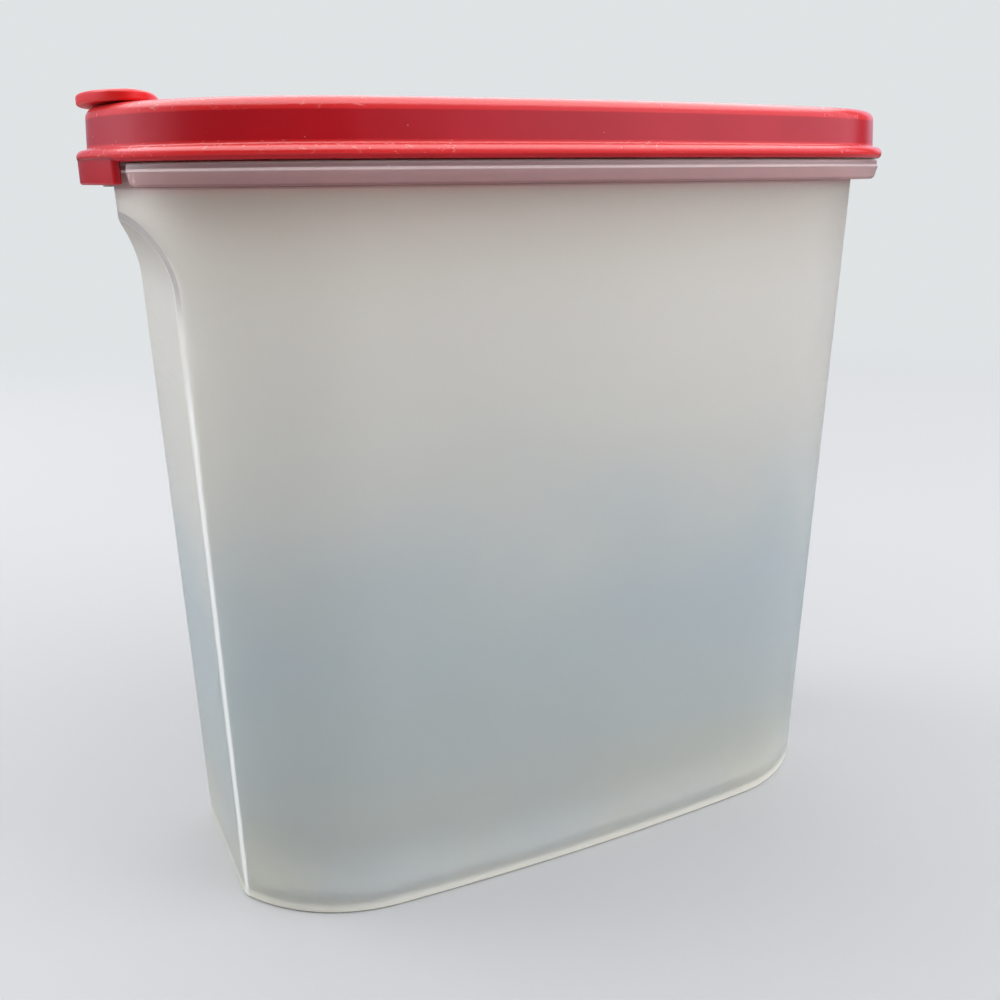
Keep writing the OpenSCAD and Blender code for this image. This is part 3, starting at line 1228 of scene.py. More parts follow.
    def rim_profile(self) -> list[tuple[float, float]]:
        """The rim's profile, from the wall out, over the lip and back to the mouth.

        Formula: quarter rounds and quarter ellipses between straight stretches, with a soft step near
        the top of the face, which catches the light from above.

        Returns:
            Its points (height, reach).
        """
        under = self.rim_top - self.rim_t
        inner = self.rim_reach - self.rim_t
        low = self.wall_height
        outer = self.rim_reach - self.rim_draft
        small = edge_round(self.lip_edge, steps=4)
        top = edge_round(1.0, steps=8) * self.rim_edge
        mouth = edge_round(SMALL_ROUND, steps=3)
        profile = [(under - self.lip_edge + e[1], e[0]) for e in small]
        profile += [(under - self.lip_edge + e[1], inner - e[0]) for e in small[::-1]]
        profile += [(low + self.lip_edge - e[1], inner + e[0]) for e in small]
        foot = edge_round(1.0, steps=7) * self.rim_foot
        profile += [(low + self.rim_foot[1] - e[1], outer - e[0]) for e in foot[::-1]]
        end, start = self.rim_step
        t = np.linspace(0, 1, self.rim_step_rows)
        step = self.rim_step_in * eased(t)
        profile += list(zip(self.rim_top - mix(start, end, t), self.rim_reach - step))
        upper = self.rim_reach - self.rim_step_in
        profile += [(self.rim_top - self.rim_edge[1] + e[1], upper - e[0]) for e in top]
        profile += [(self.rim_top - SMALL_ROUND + e[1], -self.wall + e[0]) for e in mouth[::-1]]
        return profile

    def notch_profile(self, profile: list[tuple[float, float]]) -> list[tuple[float, float]]:
        """The rim's profile inside the notch, where only the flange is left.

        Args:
            profile: The whole rim's points (height, reach).

        Returns:
            As many points, with those past the notch's reach spread over the flange's end.
        """
        under = self.rim_top - self.rim_t
        reach = self.notch_reach
        past = [i for i, (_, grow) in enumerate(profile) if grow > reach]
        share = {i: (k + 1) / (len(past) + 1) for k, i in enumerate(past)}
        return [
            (mix(under, self.rim_top, share[i]), reach) if i in share else point
            for i, point in enumerate(profile)
        ]

    def levels(self) -> Array:
        """Heights of the wall's rings, closer together along the arch of the recess.

        Returns:
            The heights, from the base up.
        """
        lower = np.linspace(self.base_edge, self.flare_z, self.lower_levels, endpoint=False)
        t = np.linspace(0, math.pi / 2, self.arch_levels)
        arch = self.flare_z + (self.arch_z - self.flare_z) * np.sin(t)
        above = np.linspace(self.arch_z, self.wall_height, self.upper_levels + 1)[1:]
        return np.concatenate([lower, arch, above])

    def shape(self) -> bpy.types.Object:
        """Builds the container's mesh.

        Returns:
            The object.
        """
        skin = Moulding()
        foot_in = -self.base_edge - self.foot_width
        floor_z = self.foot_lift + self.floor_t
        base_round = edge_round(self.base_edge, steps=7)[::-1]
        outer = [self.wall_ring(self.foot_lift, foot_in), self.wall_ring(0.0, foot_in)]
        outer += [self.wall_ring(self.base_edge - e[1], -e[0]) for e in base_round[:-1]]
        outer += [self.wall_ring(z, 0.0) for z in self.levels()]
        rim = self.rim_profile()
        notch = self.notch_profile(rim)
        middle = [self.rim_ring(*point, *low) for point, low in zip(rim, notch)]
        inner = [self.wall_ring(z, -self.wall) for z in self.levels()[::-1][:-1]]
        floor_round = edge_round(self.floor_edge, steps=7)
        inner += [
            self.wall_ring(floor_z + self.floor_edge - e[1], -self.wall - e[0]) for e in floor_round
        ]
        rows = [row for row, _ in outer] + middle + [row for row, _ in inner]
        far = [np.full(len(middle[0]), self.edge_far)]
        gaps = [gap for _, gap in outer] + far * (len(middle) + len(inner))
        skin.sheet(rows, gap=np.stack(gaps))
        skin.flat(rows[0])
        skin.flat(rows[-1])
        return skin.build("container_shell")


# ---------------------------------------------------------------- flip cap and its seat


@dataclass
class CapPlan:
    """Sizes that the flip cap shares with its seat in the lid."""

    top_z: float
    hinge: Point
    length: float = 51.0 * MM
    width: float = 60.0 * MM
    corner: float = 26.0 * MM
    height: float = 2.9 * MM
    gap: float = 0.4 * MM
    seat: float = 5.0 * MM
    hole_to_hinge: float = 8.0 * MM
    hole_corner: float = 8.0 * MM
    rear_room: float = 4.2 * MM
    tray_t: float = 1.6 * MM
    barrel_r: float = 1.9 * MM
    pin_r: float = 1.5 * MM
    pin_play: float = 0.05 * MM
    pin_length: float = 3.6 * MM
    boss_t: float = 2.2 * MM
    rear_corner: float = 0.4 * MM

    @property
    def front(self) -> float:
        """X of the cap's front edge."""
        return self.hinge[0] - self.length

    @property
    def bottom_z(self) -> float:
        """Height of the cap's lower edge."""
        return self.top_z - self.height

    @property
    def pocket_z(self) -> float:
        """Height of the seat below the cap."""
        return self.bottom_z - self.gap

    @property
    def trough_z(self) -> float:
        """Height of the trough's floor below the barrel."""
        return self.hinge[2] - self.barrel_r - self.gap

    def tongue(self, grow: float, rear: float, split: float | None = None) -> tuple[Array, Array]:
        """The cap's plan, grown, with its rear edge at a given X.

        Args:
            grow: Distance by which the front and the sides are grown.
            rear: X of the rear edge.
            split: X on the sides at which the two paths meet.

        Returns:
            The front path and the rear path.
        """
        half = self.width / 2 + grow
        return tongue_plan(self.front - grow, rear, half, self.corner + grow, self.rear_corner, split)

    def hole(self, inset: float) -> Array:
        """The pouring hole's closed outline.

        Args:
            inset: Distance by which it is drawn in.

        Returns:
            Rows (x, y).
        """
        start = self.front + self.seat + inset
        rear = self.hinge[0] - self.hole_to_hinge - inset
        half = self.width / 2 - self.seat - inset
        return closed_plan(
            tongue_plan(start, rear, half, self.corner - self.seat - inset, self.hole_corner - inset)
        )


@dataclass
class FlipCap(Piece):
    """The cap over the pouring hole, with its plug ring, barrel, trunnions and thumb lip."""

    solid = "flip_cap"
    slot = Slot.LID
    plan: CapPlan
    tip_x: float
    skin: float = 1.5 * MM
    edge: float = 0.5 * MM
    low_edge: float = 0.25 * MM
    ring_gap: float = 0.5 * MM
    ring_t: float = 1.3 * MM
    ring_depth: float = 4.4 * MM
    ring_tip: float = 0.4
    lip_width: float = 40.0 * MM
    lip_length: float = 18.0 * MM
    lip_top: float = 2.9 * MM
    lip_gap: float = 0.45 * MM
    lip_edge: float = 0.8 * MM
    lip_low_edge: float = 0.7
    lip_slope: float = 0.9 * MM
    lip_inner: float = 5.0 * MM
    lip_sides: int = 96
    web_points: int = 49
    rear_reach: float = 1.0 * MM

    def shape(self) -> bpy.types.Object:
        """Builds the cap's mesh.

        Returns:
            The object.
        """
        shell = Moulding()
        self._plate(shell)
        self._hinge(shell)
        self._lip(shell)
        return shell.build("flip_cap_shell")

    def _plate(self, shell: Moulding) -> None:
        """Adds the plate with its turned-down edge and the plug ring below it.

        Args:
            shell: The cap's surfaces.
        """
        plan = self.plan
        rear = plan.hinge[0] + self.rear_reach
        top = edge_round(self.edge, steps=5)
        low = edge_round(self.low_edge, steps=3)[::-1]

        def ring(z: float, grow: float, back: float) -> Array:
            """The plate's outline at a height."""
            return at_height(closed_plan(plan.tongue(grow, rear + back)), z)

        rows = [ring(plan.bottom_z + self.low_edge - e[1], -e[0], -e[0]) for e in low]
        rows += [ring(plan.top_z - self.edge + e[1], -e[0], -e[0]) for e in top]
        rows += [ring(plan.top_z, -self.edge - BORDER, -self.edge - BORDER)]
        shell.sheet(rows)
        shell.flat(rows[-1])
        hollow_rear = plan.hinge[0] - plan.barrel_r - self.skin / 2
        under = plan.top_z - self.skin

        def hollow(z: float, grow: float) -> Array:
            """The hollow's outline at a height."""
            return at_height(closed_plan(plan.tongue(grow - self.skin, hollow_rear + grow)), z)

        fillet = edge_round(SMALL_ROUND, steps=3)
        inner = [hollow(plan.bottom_z, 0.0)]
        inner += [hollow(under - SMALL_ROUND + e[1], -e[0]) for e in fillet]
        shell.flat(rows[0], inner[0])
        shell.sheet(inner)
        near, far = self.ring_gap, self.ring_gap + self.ring_t
        tip_r = self.ring_t * self.ring_tip
        tip = edge_round(tip_r, steps=4)
        tip_z = plan.bottom_z - self.ring_depth + tip_r
        plug = [at_height(plan.hole(near), under)]
        plug += [at_height(plan.hole(near + e[0]), tip_z - e[1]) for e in tip]
        plug += [at_height(plan.hole(far - e[0]), tip_z - e[1]) for e in tip[::-1]]
        plug += [at_height(plan.hole(far), under)]
        shell.sheet(plug)
        shell.flat(inner[-1], plug[0])
        shell.flat(plug[-1])

    def _hinge(self, shell: Moulding) -> None:
        """Adds the barrel along the rear edge and the trunnions at its ends.

        Args:
            shell: The cap's surfaces.
        """
        x, _, z = self.plan.hinge
        half = self.plan.width / 2
        reach = half + self.plan.pin_length
        shell.tube(np.array([x, -half, z]), np.array([x, half, z]), self.plan.barrel_r)
        shell.tube(np.array([x, -reach, z]), np.array([x, reach, z]), self.plan.pin_r)

    def _oval(self, z: float, grow: float, slope: float = 0.0) -> Array:
        """A ring of the thumb lip: an ellipse with both half axes grown, which dips towards the rear.

        Args:
            z: Height over the front half.
            grow: Distance by which the ellipse is grown.
            slope: How far the ring dips at the rear, in step with the distance squared.

        Returns:
            Its points.
        """
        turn = np.linspace(0, 2 * math.pi, self.lip_sides, endpoint=False)
        x = self.tip_x + self.lip_length / 2 + (self.lip_length / 2 + grow) * np.cos(turn)
        y = (self.lip_width / 2 + grow) * np.sin(turn)
        return np.stack([x, y, z - slope * np.clip(np.cos(turn), 0, 1) ** 2], 1)

    def _lip(self, shell: Moulding) -> None:
        """Adds the raised thumb lip and the web that joins it to the plate.

        Args:
            shell: The cap's surfaces.
        """
        low = self.plan.top_z + self.lip_gap
        high = self.plan.top_z + self.lip_top
        low_edge = self.lip_edge * self.lip_low_edge
        under, over = edge_round(low_edge, steps=6), edge_round(self.lip_edge, steps=8)
        drop, border = self.lip_slope, -self.lip_edge - BORDER
        rows = [self._oval(low, border)]
        rows += [self._oval(low + low_edge - e[1], -e[0]) for e in under[::-1]]
        rows += [self._oval(high - self.lip_edge + e[1], -e[0], drop) for e in over]
        rows += [self._oval(high, border, drop), self._oval(high, -self.lip_inner, drop)]
        shell.sheet(rows)
        shell.flat(rows[0])
        middle = self.tip_x + self.lip_length / 2
        hub = np.array([[middle, 0.0, high]])
        shell.sheet([rows[-1], np.repeat(hub, len(rows[-1]), axis=0)])
        # the web is the part of the oval behind the plate's front edge
        half_x = self.lip_length / 2 - self.lip_edge
        reach = math.acos((self.plan.front + self.skin / 2 - middle) / half_x)
        turn = np.linspace(-reach, reach, self.web_points)
        half_y = self.lip_width / 2 - self.lip_edge
        outline = np.stack([middle + half_x * np.cos(turn), half_y * np.sin(turn)], 1)
        web = [at_height(outline, z) for z in (self.plan.top_z - self.skin / 2, low + self.lip_edge)]
        shell.sheet(web)
        shell.flat(web[0])
        shell.flat(web[-1])


# ---------------------------------------------------------------- lid


@dataclass
class Lid(Piece):
    """The press-on lid: bead, lift tab, dome, plug wall and the seat of the flip cap."""

    solid = "lid"
    slot = Slot.LID
    box: Container
    plan: CapPlan
    wall: float = 1.8 * MM
    seat_gap: float = 0.3 * MM
    bead_height: float = 3.0 * MM
    bead_nose: float = 0.7 * MM
    bead_low: tuple[float, float] = (0.9 * MM, 1.35 * MM)
    bead_high: tuple[float, float] = (1.7 * MM, 1.65 * MM)
    bead_hollow: float = 0.5 * MM
    dome_foot: float = 5.2 * MM
    dome_top: float = 4.75 * MM
    dome_edge: float = 2.35 * MM
    dome_border: float = 0.6 * MM
    under_border: float = 0.5 * MM
    plug_depth: float = 5.4 * MM
    plug_gap: float = 0.3 * MM
    plug_t: float = 1.5 * MM
    plug_tip: float = 0.45
    plug_foot: tuple[float, float] = (0.2 * MM, 0.3 * MM)
    panel_sink: float = 0.6 * MM
    panel_border: float = 11.0 * MM
    panel_corner: float = 7.0 * MM
    pocket_edge: float = 0.35 * MM
    tab_half: float = 23.5 * MM
    tab_drop: float = 4.9 * MM
    tab_inset: float = 0.15 * MM
    tab_t: float = 1.8 * MM
    tab_edge: float = 0.6 * MM
    tab_corner: float = 1.0 * MM
    tab_least: float = 0.02 * MM
    tab_steps: int = 40
    tab_round_points: int = 6
    crowd: float = 0.5

    @property
    def bead_z(self) -> float:
        """Height of the bead's underside."""
        return self.box.rim_top + self.seat_gap

    @property
    def bead_top(self) -> float:
        """Height of the bead's top."""
        return self.bead_z + self.bead_height

    @property
    def bead_reach(self) -> float:
        """How far the bead's nose stands out from the container's wall."""
        return self.box.rim_reach + self.bead_nose

    @property
    def under_z(self) -> float:
        """Height of the underside of the lid's top."""
        return self.plan.top_z - self.wall

    def ring(self, z: float, grow: float) -> Array:
        """A ring around the mouth's outline.

        Args:
            z: Height.
            grow: How far it stands out from the container's wall.

        Returns:
            Its points.
        """
        return at_height(self.box.mouth.loop(grow, self.crowd), z)

    def shape(self) -> bpy.types.Object:
        """Builds the lid's mesh.

        Returns:
            The object.
        """
        shell = Moulding()
        top, under = self._body(shell)
        seat_edge = self._seat(shell)
        panel_edge = self._panel(shell)
        shell.flat(top, seat_edge, panel_edge)
        shell.flat(under, self._tray(shell))
        self._tab(shell)
        return shell.build("lid_shell")

    def _body(self, shell: Moulding) -> tuple[Array, Array]:
        """Adds the dome, the bead and the plug wall.

        Args:
            shell: The lid's surfaces.

        Returns:
            The rings that bound the lid's flat top and its underside.
        """
        plug_out = -self.box.wall - self.plug_gap
        plug_in = plug_out - self.plug_t
        plug_z = self.box.rim_top - self.plug_depth
        web_z = self.bead_z + self.wall
        inside = self.dome_edge - self.wall
        skin, foot = self.dome_top - self.wall, self.dome_foot - self.wall
        rows = [self.ring(self.under_z, skin - inside - self.under_border)]
        corner = edge_round(inside, steps=4)[::-1]
        rows += [self.ring(self.under_z - inside + e[1], skin - e[0]) for e in corner]
        small = edge_round(SMALL_ROUND, steps=3)
        rows += [self.ring(web_z + SMALL_ROUND - e[1], foot - e[0]) for e in small]
        rows += [self.ring(web_z - SMALL_ROUND + e[1], plug_in + e[0]) for e in small[::-1]]
        tip_r = self.plug_t * self.plug_tip
        tip = edge_round(tip_r, steps=5)
        rows += [self.ring(plug_z + tip_r - e[1], plug_in + e[0]) for e in tip]
        rows += [self.ring(plug_z + tip_r - e[1], plug_out - e[0]) for e in tip[::-1]]
        rows += [self.ring(self.bead_z - self.plug_foot[1], plug_out)]
        rows += [self.ring(self.bead_z, plug_out + self.plug_foot[0])]
        rows += [self.ring(z, grow) for grow, z in self._bead()]
        rows += [
            self.ring(self.plan.top_z - self.dome_edge + e[1], self.dome_top - e[0])
            for e in edge_round(self.dome_edge, steps=10)
        ]
        rows += [self.ring(self.plan.top_z, self.dome_top - self.dome_edge - self.dome_border)]
        shell.sheet(rows)
        return rows[-1], rows[0]

    def _seat(self, shell: Moulding) -> Array:
        """Adds the pocket that the flip cap lies in, with its trough, bores and pouring hole.

        Args:
            shell: The lid's surfaces.

        Returns:
            The pocket's outline in the lid's top.
        """
        plan = self.plan
        hinge_x, _, hinge_z = plan.hinge
        rear = hinge_x + plan.rear_room
        step_x = hinge_x - plan.rear_room
        half = plan.width / 2 + plan.gap
        edge = self.pocket_edge

        def paths(z: float, grow: float) -> tuple[Array, Array]:
            """The two paths of the pocket's outline at a height."""
            front, back = plan.tongue(plan.gap + grow, rear + grow, step_x)
            return at_height(front, z), at_height(back, z)

        lips = [paths(plan.top_z, edge + BORDER)]
        lips += [paths(plan.top_z - edge + e[1], e[0]) for e in edge_round(edge, steps=4)[::-1]]
        rows = [np.concatenate([front, back[1:-1]]) for front, back in lips]
        shell.sheet(rows)
        rim_front, rim_back = lips[-1]
        floor_front, _ = paths(plan.pocket_z, 0.0)
        shell.sheet([rim_front, floor_front], wrap=False)
        # rear wall and the two flat side walls with the trunnions' bores
        core = rim_back[1:-1]
        core_low = core * (1, 1, 0) + (0, 0, plan.trough_z)
        shell.sheet([core, core_low], wrap=False)
        for side, end, near in ((1, core[0], rim_back[0]), (-1, core[-1], rim_back[-1])):
            y = side * half
            low = ((end[0], y, plan.trough_z), (step_x, y, plan.trough_z), (step_x, y, plan.pocket_z))
            bore, bottom = (
                shell.ring_y(np.array([hinge_x, deep, hinge_z]), plan.pin_r + plan.pin_play)
                for deep in (y, y + side * plan.pin_length)
            )
            shell.flat(np.array([near, end, *low]), bore)
            shell.sheet([bore, bottom])
            shell.flat(bottom)
        high, deep = plan.pocket_z, plan.trough_z
        corners = ((half, high), (-half, high), (-half, deep), (half, deep))
        step = np.array([(step_x, *corner) for corner in corners])
        shell.flat(step)
        shell.flat(np.concatenate([step[3:], core_low, step[2:3]]))
        # pouring hole with a rounded upper edge
        tray_low = plan.pocket_z - plan.tray_t
        lip_z = plan.pocket_z - SMALL_ROUND
        lip = edge_round(SMALL_ROUND, steps=4)[::-1]
        holes = [at_height(plan.hole(-e[0]), lip_z + e[1]) for e in lip]
        holes += [at_height(plan.hole(0.0), tray_low)]
        shell.sheet(holes)
        shell.flat(floor_front, holes[0])
        return rows[0]

    def _tray(self, shell: Moulding) -> Array:
        """Adds the underside of the tray and of the block that holds the trunnions.

        Args:
            shell: The lid's surfaces.

        Returns:
            The outline that the tray leaves in the lid's underside.
        """
        plan = self.plan
        rear = plan.hinge[0] + plan.rear_room + plan.tray_t
        front_x = rear - 2 * plan.rear_room - 2 * plan.tray_t
        tray_low = plan.pocket_z - plan.tray_t
        block_low = plan.trough_z - plan.tray_t
        grow = plan.gap + plan.tray_t
        half = plan.width / 2 + grow
        wide = plan.width / 2 + plan.pin_length + plan.gap + plan.boss_t
        front, _ = plan.tongue(grow, rear, front_x)
        high, low = at_height(front, self.under_z), at_height(front, tray_low)
        shell.sheet([high, low], wrap=False)
        shell.flat(low, at_height(plan.hole(0.0), tray_low))

        def corners(z: float) -> Array:
            """The block's corners at a height, from the front at +Y to the front at -Y."""
            plan_corners = ((front_x, wide), (rear, wide), (rear, -wide), (front_x, -wide))
            return np.array([(*corner, z) for corner in plan_corners])

        top, bottom = corners(self.under_z), corners(block_low)
        shell.sheet([top, bottom], wrap=False)
        shell.flat(bottom)
        cut = ((half, self.under_z), (half, tray_low), (-half, tray_low), (-half, self.under_z))
        front = [(front_x, *corner) for corner in cut]
        shell.flat(np.array([top[3], bottom[3], bottom[0], top[0], *front]))
        return np.concatenate([high, top])

    def _panel(self, shell: Moulding) -> Array:
        """Adds the sunken panel behind the flip cap.

        Args:
            shell: The lid's surfaces.

        Returns:
            The panel's outline in the lid's top.
        """
        start = self.plan.hinge[0] + self.plan.rear_room + self.panel_border
        grow = self.dome_top - self.dome_edge - self.panel_border
        sink, z = self.panel_sink, self.plan.top_z

        def ring(depth: float, out: float) -> Array:
            """The panel's outline.

            Args:
                depth: Depth below the lid's top.
                out: Distance by which the outline is grown.

            Returns:
                Its points.
            """
            points = self.ring(z - depth, grow + out)
            points[:, 0] = -held(-points[:, 0], -(start - out), self.panel_corner)
            return points

        curve = edge_round(sink / 2, steps=4)
        rows = [ring(0.0, sink / 2 + self.under_border)]
        rows += [ring(sink / 2 - e[1], e[0]) for e in curve[::-1]]
        rows += [ring(sink / 2 + e[1], -e[0]) for e in curve[1:]]
        rows += [ring(sink, -sink / 2 - self.under_border)]
        shell.sheet(rows)
        shell.flat(rows[-1])
        return rows[0]

    def _bead(self) -> Array:
        """Works out the bead's profile, from its underside over its nose and up to the dome's foot.

        Formula: a quarter of an ellipse below the nose and one above it, then a hollow quarter that
        ends upright on the dome.

        Returns:
            Its points (reach, height).
        """
        nose = np.array((self.bead_reach, self.bead_z + self.bead_low[1]))
        lower = nose - edge_round(1.0, steps=7)[::-1] * self.bead_low
        upper = nose + edge_round(1.0, steps=14)[1:] * (-self.bead_high[0], self.bead_high[1])
        hollow = edge_round(self.bead_hollow, steps=5)[::-1] * (1, -1)
        hollow = hollow + (self.dome_foot, self.bead_top + self.bead_hollow)
        return np.concatenate([lower, upper, hollow])

    def _tab(self, shell: Moulding) -> None:
        """Adds the lift tab that hangs from the bead at the spout end.

        Formula: a box with round corners in (reach, height), carried along the end's arc, where
        x = -end_x - root(reach squared - y squared), and cut off square at both sides.

        Args:
            shell: The lid's surfaces.
        """
        mouth = self.box.mouth
        outer = self.bead_reach - self.tab_inset
        low, high = self.bead_z - self.tab_drop, self.bead_z + self.bead_height / 2
        corner = edge_round(self.tab_corner, steps=7) * (self.tab_edge / self.tab_corner, 1.0)
        shrink = np.concatenate([corner[:, 0][::-1], np.zeros(self.tab_steps), corner[:, 0]])
        flank = self.tab_half - self.tab_corner
        ends = flank + corner[:, 1]
        straight = np.linspace(-flank, flank, self.tab_steps + 2)[1:-1]
        y = np.concatenate([-ends[::-1], straight, ends])[:, None]
        turn = np.arange(0, 2 * math.pi, math.pi / 2)
        n_round = self.tab_round_points
        angle = (turn[:, None] + np.linspace(0, math.pi / 2, n_round)).ravel()
        middle = np.array([outer - self.tab_t / 2, (low + high) / 2])
        half = np.array([self.tab_t / 2, (high - low) / 2]) - self.tab_edge
        corners = np.array([(1, 1), (-1, 1), (-1, -1), (1, -1)])
        centres = np.repeat(corners, n_round, axis=0) * half
        radius = np.maximum(self.tab_edge - shrink, self.tab_least)[:, None]
        reach = mouth.end_radius + middle[0] + centres[:, 0] + radius * np.cos(angle)
        z = middle[1] + centres[:, 1] + radius * np.sin(angle)
        x = -mouth.end_x - np.sqrt(reach**2 - y**2)
        rows = np.stack([x, np.broadcast_to(y, x.shape), z], -1)
        shell.sheet(rows)
        shell.flat(rows[0])
        shell.flat(rows[-1])


# ---------------------------------------------------------------- studio


@dataclass(frozen=True)
class Lamp:
    """A rectangular soft lamp that the camera doesn't see."""

    name: str
    at: Point
    size: Span
    watts: float
    colour: Colour
    unseen: tuple[str, ...]

    def place(self, aim: Point) -> None:
        """Adds the lamp to the scene.

        Args:
            aim: The point that it faces.
        """
        data = bpy.data.lights.new(self.name, "AREA")
        data.shape = "RECTANGLE"
        data.size, data.size_y = self.size
        data.energy = self.watts
        data.color = self.colour
        lamp = new_object(self.name, data)
        lamp.location = self.at
        lamp.rotation_euler = (Vector(self.at) - Vector(aim)).to_track_quat("Z", "Y").to_euler()
        for kind in ("camera", *self.unseen):
            setattr(lamp, f"visible_{kind}", False)


@dataclass
class Studio:
    """The pale floor, the soft lamps and the camera.

    The panel overhead shows as a sheen on edges, and the fill at each side is a soft light.
    """

    backdrop: Colour = (0.74, 0.77, 0.78)
    lamps: tuple[Lamp, ...] = (
        Lamp(
            "top panel",
            at=(0.0, 0.0, 1.2),
            size=(3.2, 2.9),
            watts=80.0,
            colour=(0.96, 0.98, 1.0),
            unseen=("diffuse", "transmission"),
        ),
        Lamp(
            "right fill",
            at=(1.12, -0.84, 0.45),
            size=(0.9, 0.7),
            watts=9.4,
            colour=(0.98, 1.0, 0.99),
            unseen=("glossy",),
        ),
        Lamp(
            "left fill",
            at=(-1.1, 0.85, 0.45),
            size=(0.9, 0.7),
            watts=11.0,
            colour=(0.97, 1.0, 1.0),
            unseen=("glossy",),
        ),
    )
    aim: Point = (0.0, 0.0, 0.12)
    horizon: tuple[Span, ...] = (
        (-180, 0.8),
        (-168, 0.3),
        (-150, 0.45),
        (-125, 1.15),
        (-100, 0.75),
        (-84, 0.1),
        (-50, 0.03),
        (-10, 0.06),
        (6, 0.4),
        (20, 1.05),
        (34, 1.5),
        (60, 1.4),
        (84, 1.2),
        (94, 0.12),
        (106, 0.12),
        (114, 0.9),
        (135, 0.9),
        (154, 1.2),
        (180, 1.0),
    )
    horizon_tint: Colour = (0.88, 0.87, 1.08)
    sky_tint: Colour = (0.97, 0.97, 1.0)
    sky: float = 1.9
    sky_rise: Span = (0.5, 0.72)
    horizon_rise: Span = (-0.08, 0.12)
    floor_tint: Colour = (0.76, 0.77, 0.76)
    floor_share: float = 0.62
    floor_sheen: float = 0.25
    floor_radii: tuple[float, ...] = (0.1, 0.3, 0.6, 1.2, 3.0)
    floor_sides: int = 96
    floor_z: float = -0.1 * MM
    floor_fade: Span = (0.35, 1.1)
    focal_px: float = 1039.354
    image_px: float = 1000.0
    sensor: float = 36.0
    clip: Span = (0.01, 20.0)
    camera_at: Point = (-0.140090, -0.275458, 0.191941)
    yaw: float = 0.457379
    pitch: float = 0.302221
    roll: float = -0.009971

    def camera_ray(self, graph: Graph) -> Wire:
        """1 for rays that see the backdrop: straight from the camera or passed through plastic."""
        return (graph.ray("Is Camera Ray") + graph.ray("Is Transmission Ray")).least(1.0)

    def build(self) -> None:
        """Builds the world, the floor, the lamps and the camera."""
        self._world()
        self._floor()
        for lamp in self.lamps:
            lamp.place(self.aim)
        self._camera()

    def _world(self) -> None:
        """Makes the world pale to the camera and a room with a bright sky for the object.

        Formula: low down, the light around the horizon follows a curve of the heading, from -Y
        through +X; higher up it gives way to the even light of the sky.
        """
        world = bpy.data.worlds.new("studio")
        bpy.context.scene.world = world
        world.use_nodes = True
        graph = Graph(world.node_tree)
        _, x, y, z = graph.place("Generated")
        heading = x.math("ARCTAN2", 0 - y) / (2 * math.pi) + 0.5
        curve = graph.node("ShaderNodeValToRGB", None, {0: heading})
        self._fill(curve.color_ramp)
        around = Wire(graph, curve.outputs[0])
        high = z.ramp(*self.sky_rise)
        strength = around * (1 - high) * z.ramp(*self.horizon_rise) + high * self.sky
        tint = graph.blend(high, self.horizon_tint, self.sky_tint)
        light = graph.node("ShaderNodeBackground", None, {"Color": tint, "Strength": strength})
        seen = graph.node("ShaderNodeBackground", None, {"Color": self.backdrop, "Strength": 1.0})
        graph.surface(graph.between(self.camera_ray(graph), light, seen), "ShaderNodeOutputWorld")

    def _fill(self, ramp: bpy.types.ColorRamp) -> None:
        """Sets the stops of the horizon's curve.

        Args:
            ramp: The ramp to fill.
        """
        while len(ramp.elements) < len(self.horizon):
            ramp.elements.new(0.5)
        for stop, (heading, level) in zip(ramp.elements, self.horizon):
            stop.position = math.radians(heading) / (2 * math.pi) + 0.5
            stop.color = (level, level, level, 1.0)

    def _floor(self) -> None:
        """Makes the floor, which fades into the backdrop away from the object."""
        turn = np.linspace(0, 2 * math.pi, self.floor_sides, endpoint=False)
        points = np.concatenate([at_height(polar(r, turn), self.floor_z) for r in self.floor_radii])
        faces = grid_faces(len(self.floor_radii), self.floor_sides, True)[:, ::-1]
        mesh = bpy.data.meshes.new("floor")
        mesh.from_pydata(points.tolist(), [], [*faces.tolist(), list(range(self.floor_sides))])
        floor = new_object("floor", mesh)
        material, graph = new_material("floor")
        _, x, y, _ = graph.place()
        near, out = self.floor_fade
        far = (x * x + y * y).ramp(near**2, out**2)
        plain = tuple(self.floor_share * c for c in self.floor_tint)
        dark = tuple(self.floor_sheen * c for c in self.backdrop)
        colour = graph.blend(graph.ray("Is Glossy Ray"), plain, dark)
        diffuse = graph.node("ShaderNodeBsdfDiffuse", None, {"Color": colour})
        glow = graph.node("ShaderNodeEmission", None, {"Color": self.backdrop, "Strength": 1.0})
        graph.surface(graph.between(self.camera_ray(graph) * far, diffuse, glow))
        mesh.materials.append(material)

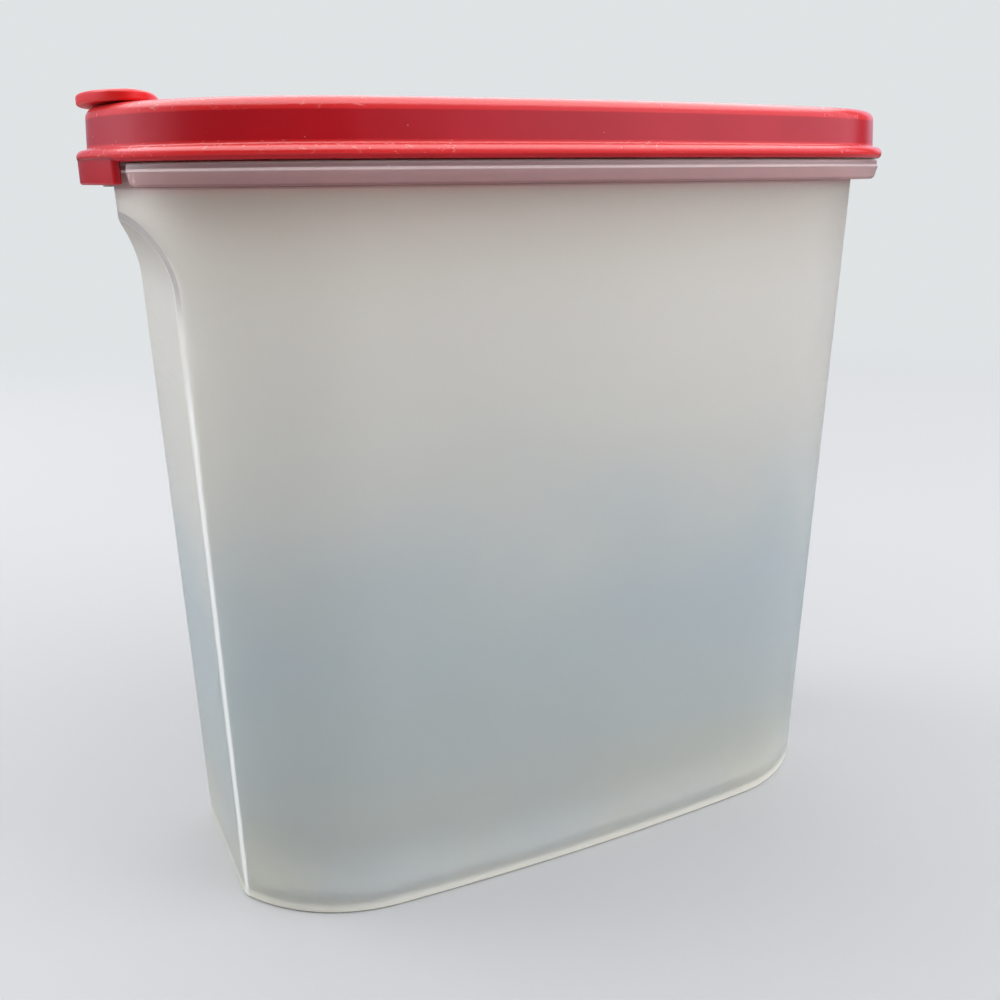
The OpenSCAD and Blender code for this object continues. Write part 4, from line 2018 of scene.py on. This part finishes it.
    def _camera(self) -> None:
        """Makes the camera from its yaw, pitch and roll."""
        yaw, pitch, roll = self.yaw, self.pitch, self.roll
        level_part = math.cos(pitch)
        ahead = Vector((math.sin(yaw) * level_part, math.cos(yaw) * level_part, -math.sin(pitch)))
        level = Vector((math.cos(yaw), -math.sin(yaw), 0.0))
        rise = level.cross(ahead)
        right = level * math.cos(roll) + rise * math.sin(roll)
        up = rise * math.cos(roll) - level * math.sin(roll)
        data = bpy.data.cameras.new("camera")
        data.sensor_width = self.sensor
        data.lens = self.focal_px / self.image_px * self.sensor
        data.clip_start, data.clip_end = self.clip
        camera = new_object("camera", data)
        turn = Matrix((right, up, -ahead)).transposed()
        camera.matrix_world = Matrix.Translation(self.camera_at) @ turn.to_4x4()
        bpy.context.scene.camera = camera


# ---------------------------------------------------------------- the object


@dataclass
class CerealKeeper:
    """The whole object: container, lid and flip cap."""

    container: Container = field(default_factory=Container)
    # bands for the pale scuff marks, which also get a painted highlight
    bead_scuff_and_highlight: Span = (1.2 * MM, 0.5 * MM)
    dome_scuff_and_highlight: Span = (2.4 * MM, 0.1 * MM)
    # painted light: the lid's red plastic made lighter for the cap, for the light from above on its
    # lip
    lit_cap_plastic: SatinPlastic = SatinPlastic(
        colour=(0.70, 0.015, 0.011), deep=(0.64, 0.011, 0.009), roughness=0.3, specular=0.4
    )

    def build(self) -> None:
        """Builds and dresses the three mouldings."""
        hinge = next(j for j in frame["joints"] if j["name"] == "cap_flip")["pos_m"]
        top_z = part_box("lid")[1].z
        plan = CapPlan(top_z=top_z, hinge=tuple(hinge))
        lid = Lid(self.container, plan)
        cap = FlipCap(plan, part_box("flip_cap")[0].x)
        scuff_and_highlight_bands = (
            (lid.bead_z + self.bead_scuff_and_highlight[0], lid.bead_top + self.bead_scuff_and_highlight[1]),
            (top_z - self.dome_scuff_and_highlight[0], top_z + self.dome_scuff_and_highlight[1]),
        )
        self.container.dress(FrostedPlastic().material("frosted container plastic"))
        lid.dress(SatinPlastic(high_edges=scuff_and_highlight_bands).material("red lid plastic"))
        cap.dress(self.lit_cap_plastic.material("red cap plastic"))


def main() -> None:
    """Builds the object and its studio."""
    logging.basicConfig(level=logging.INFO, format="%(name)s: %(message)s")
    bpy.context.scene.view_settings.view_transform = "Standard"
    CerealKeeper().build()
    Studio().build()


if __name__ == "__main__":
    main()
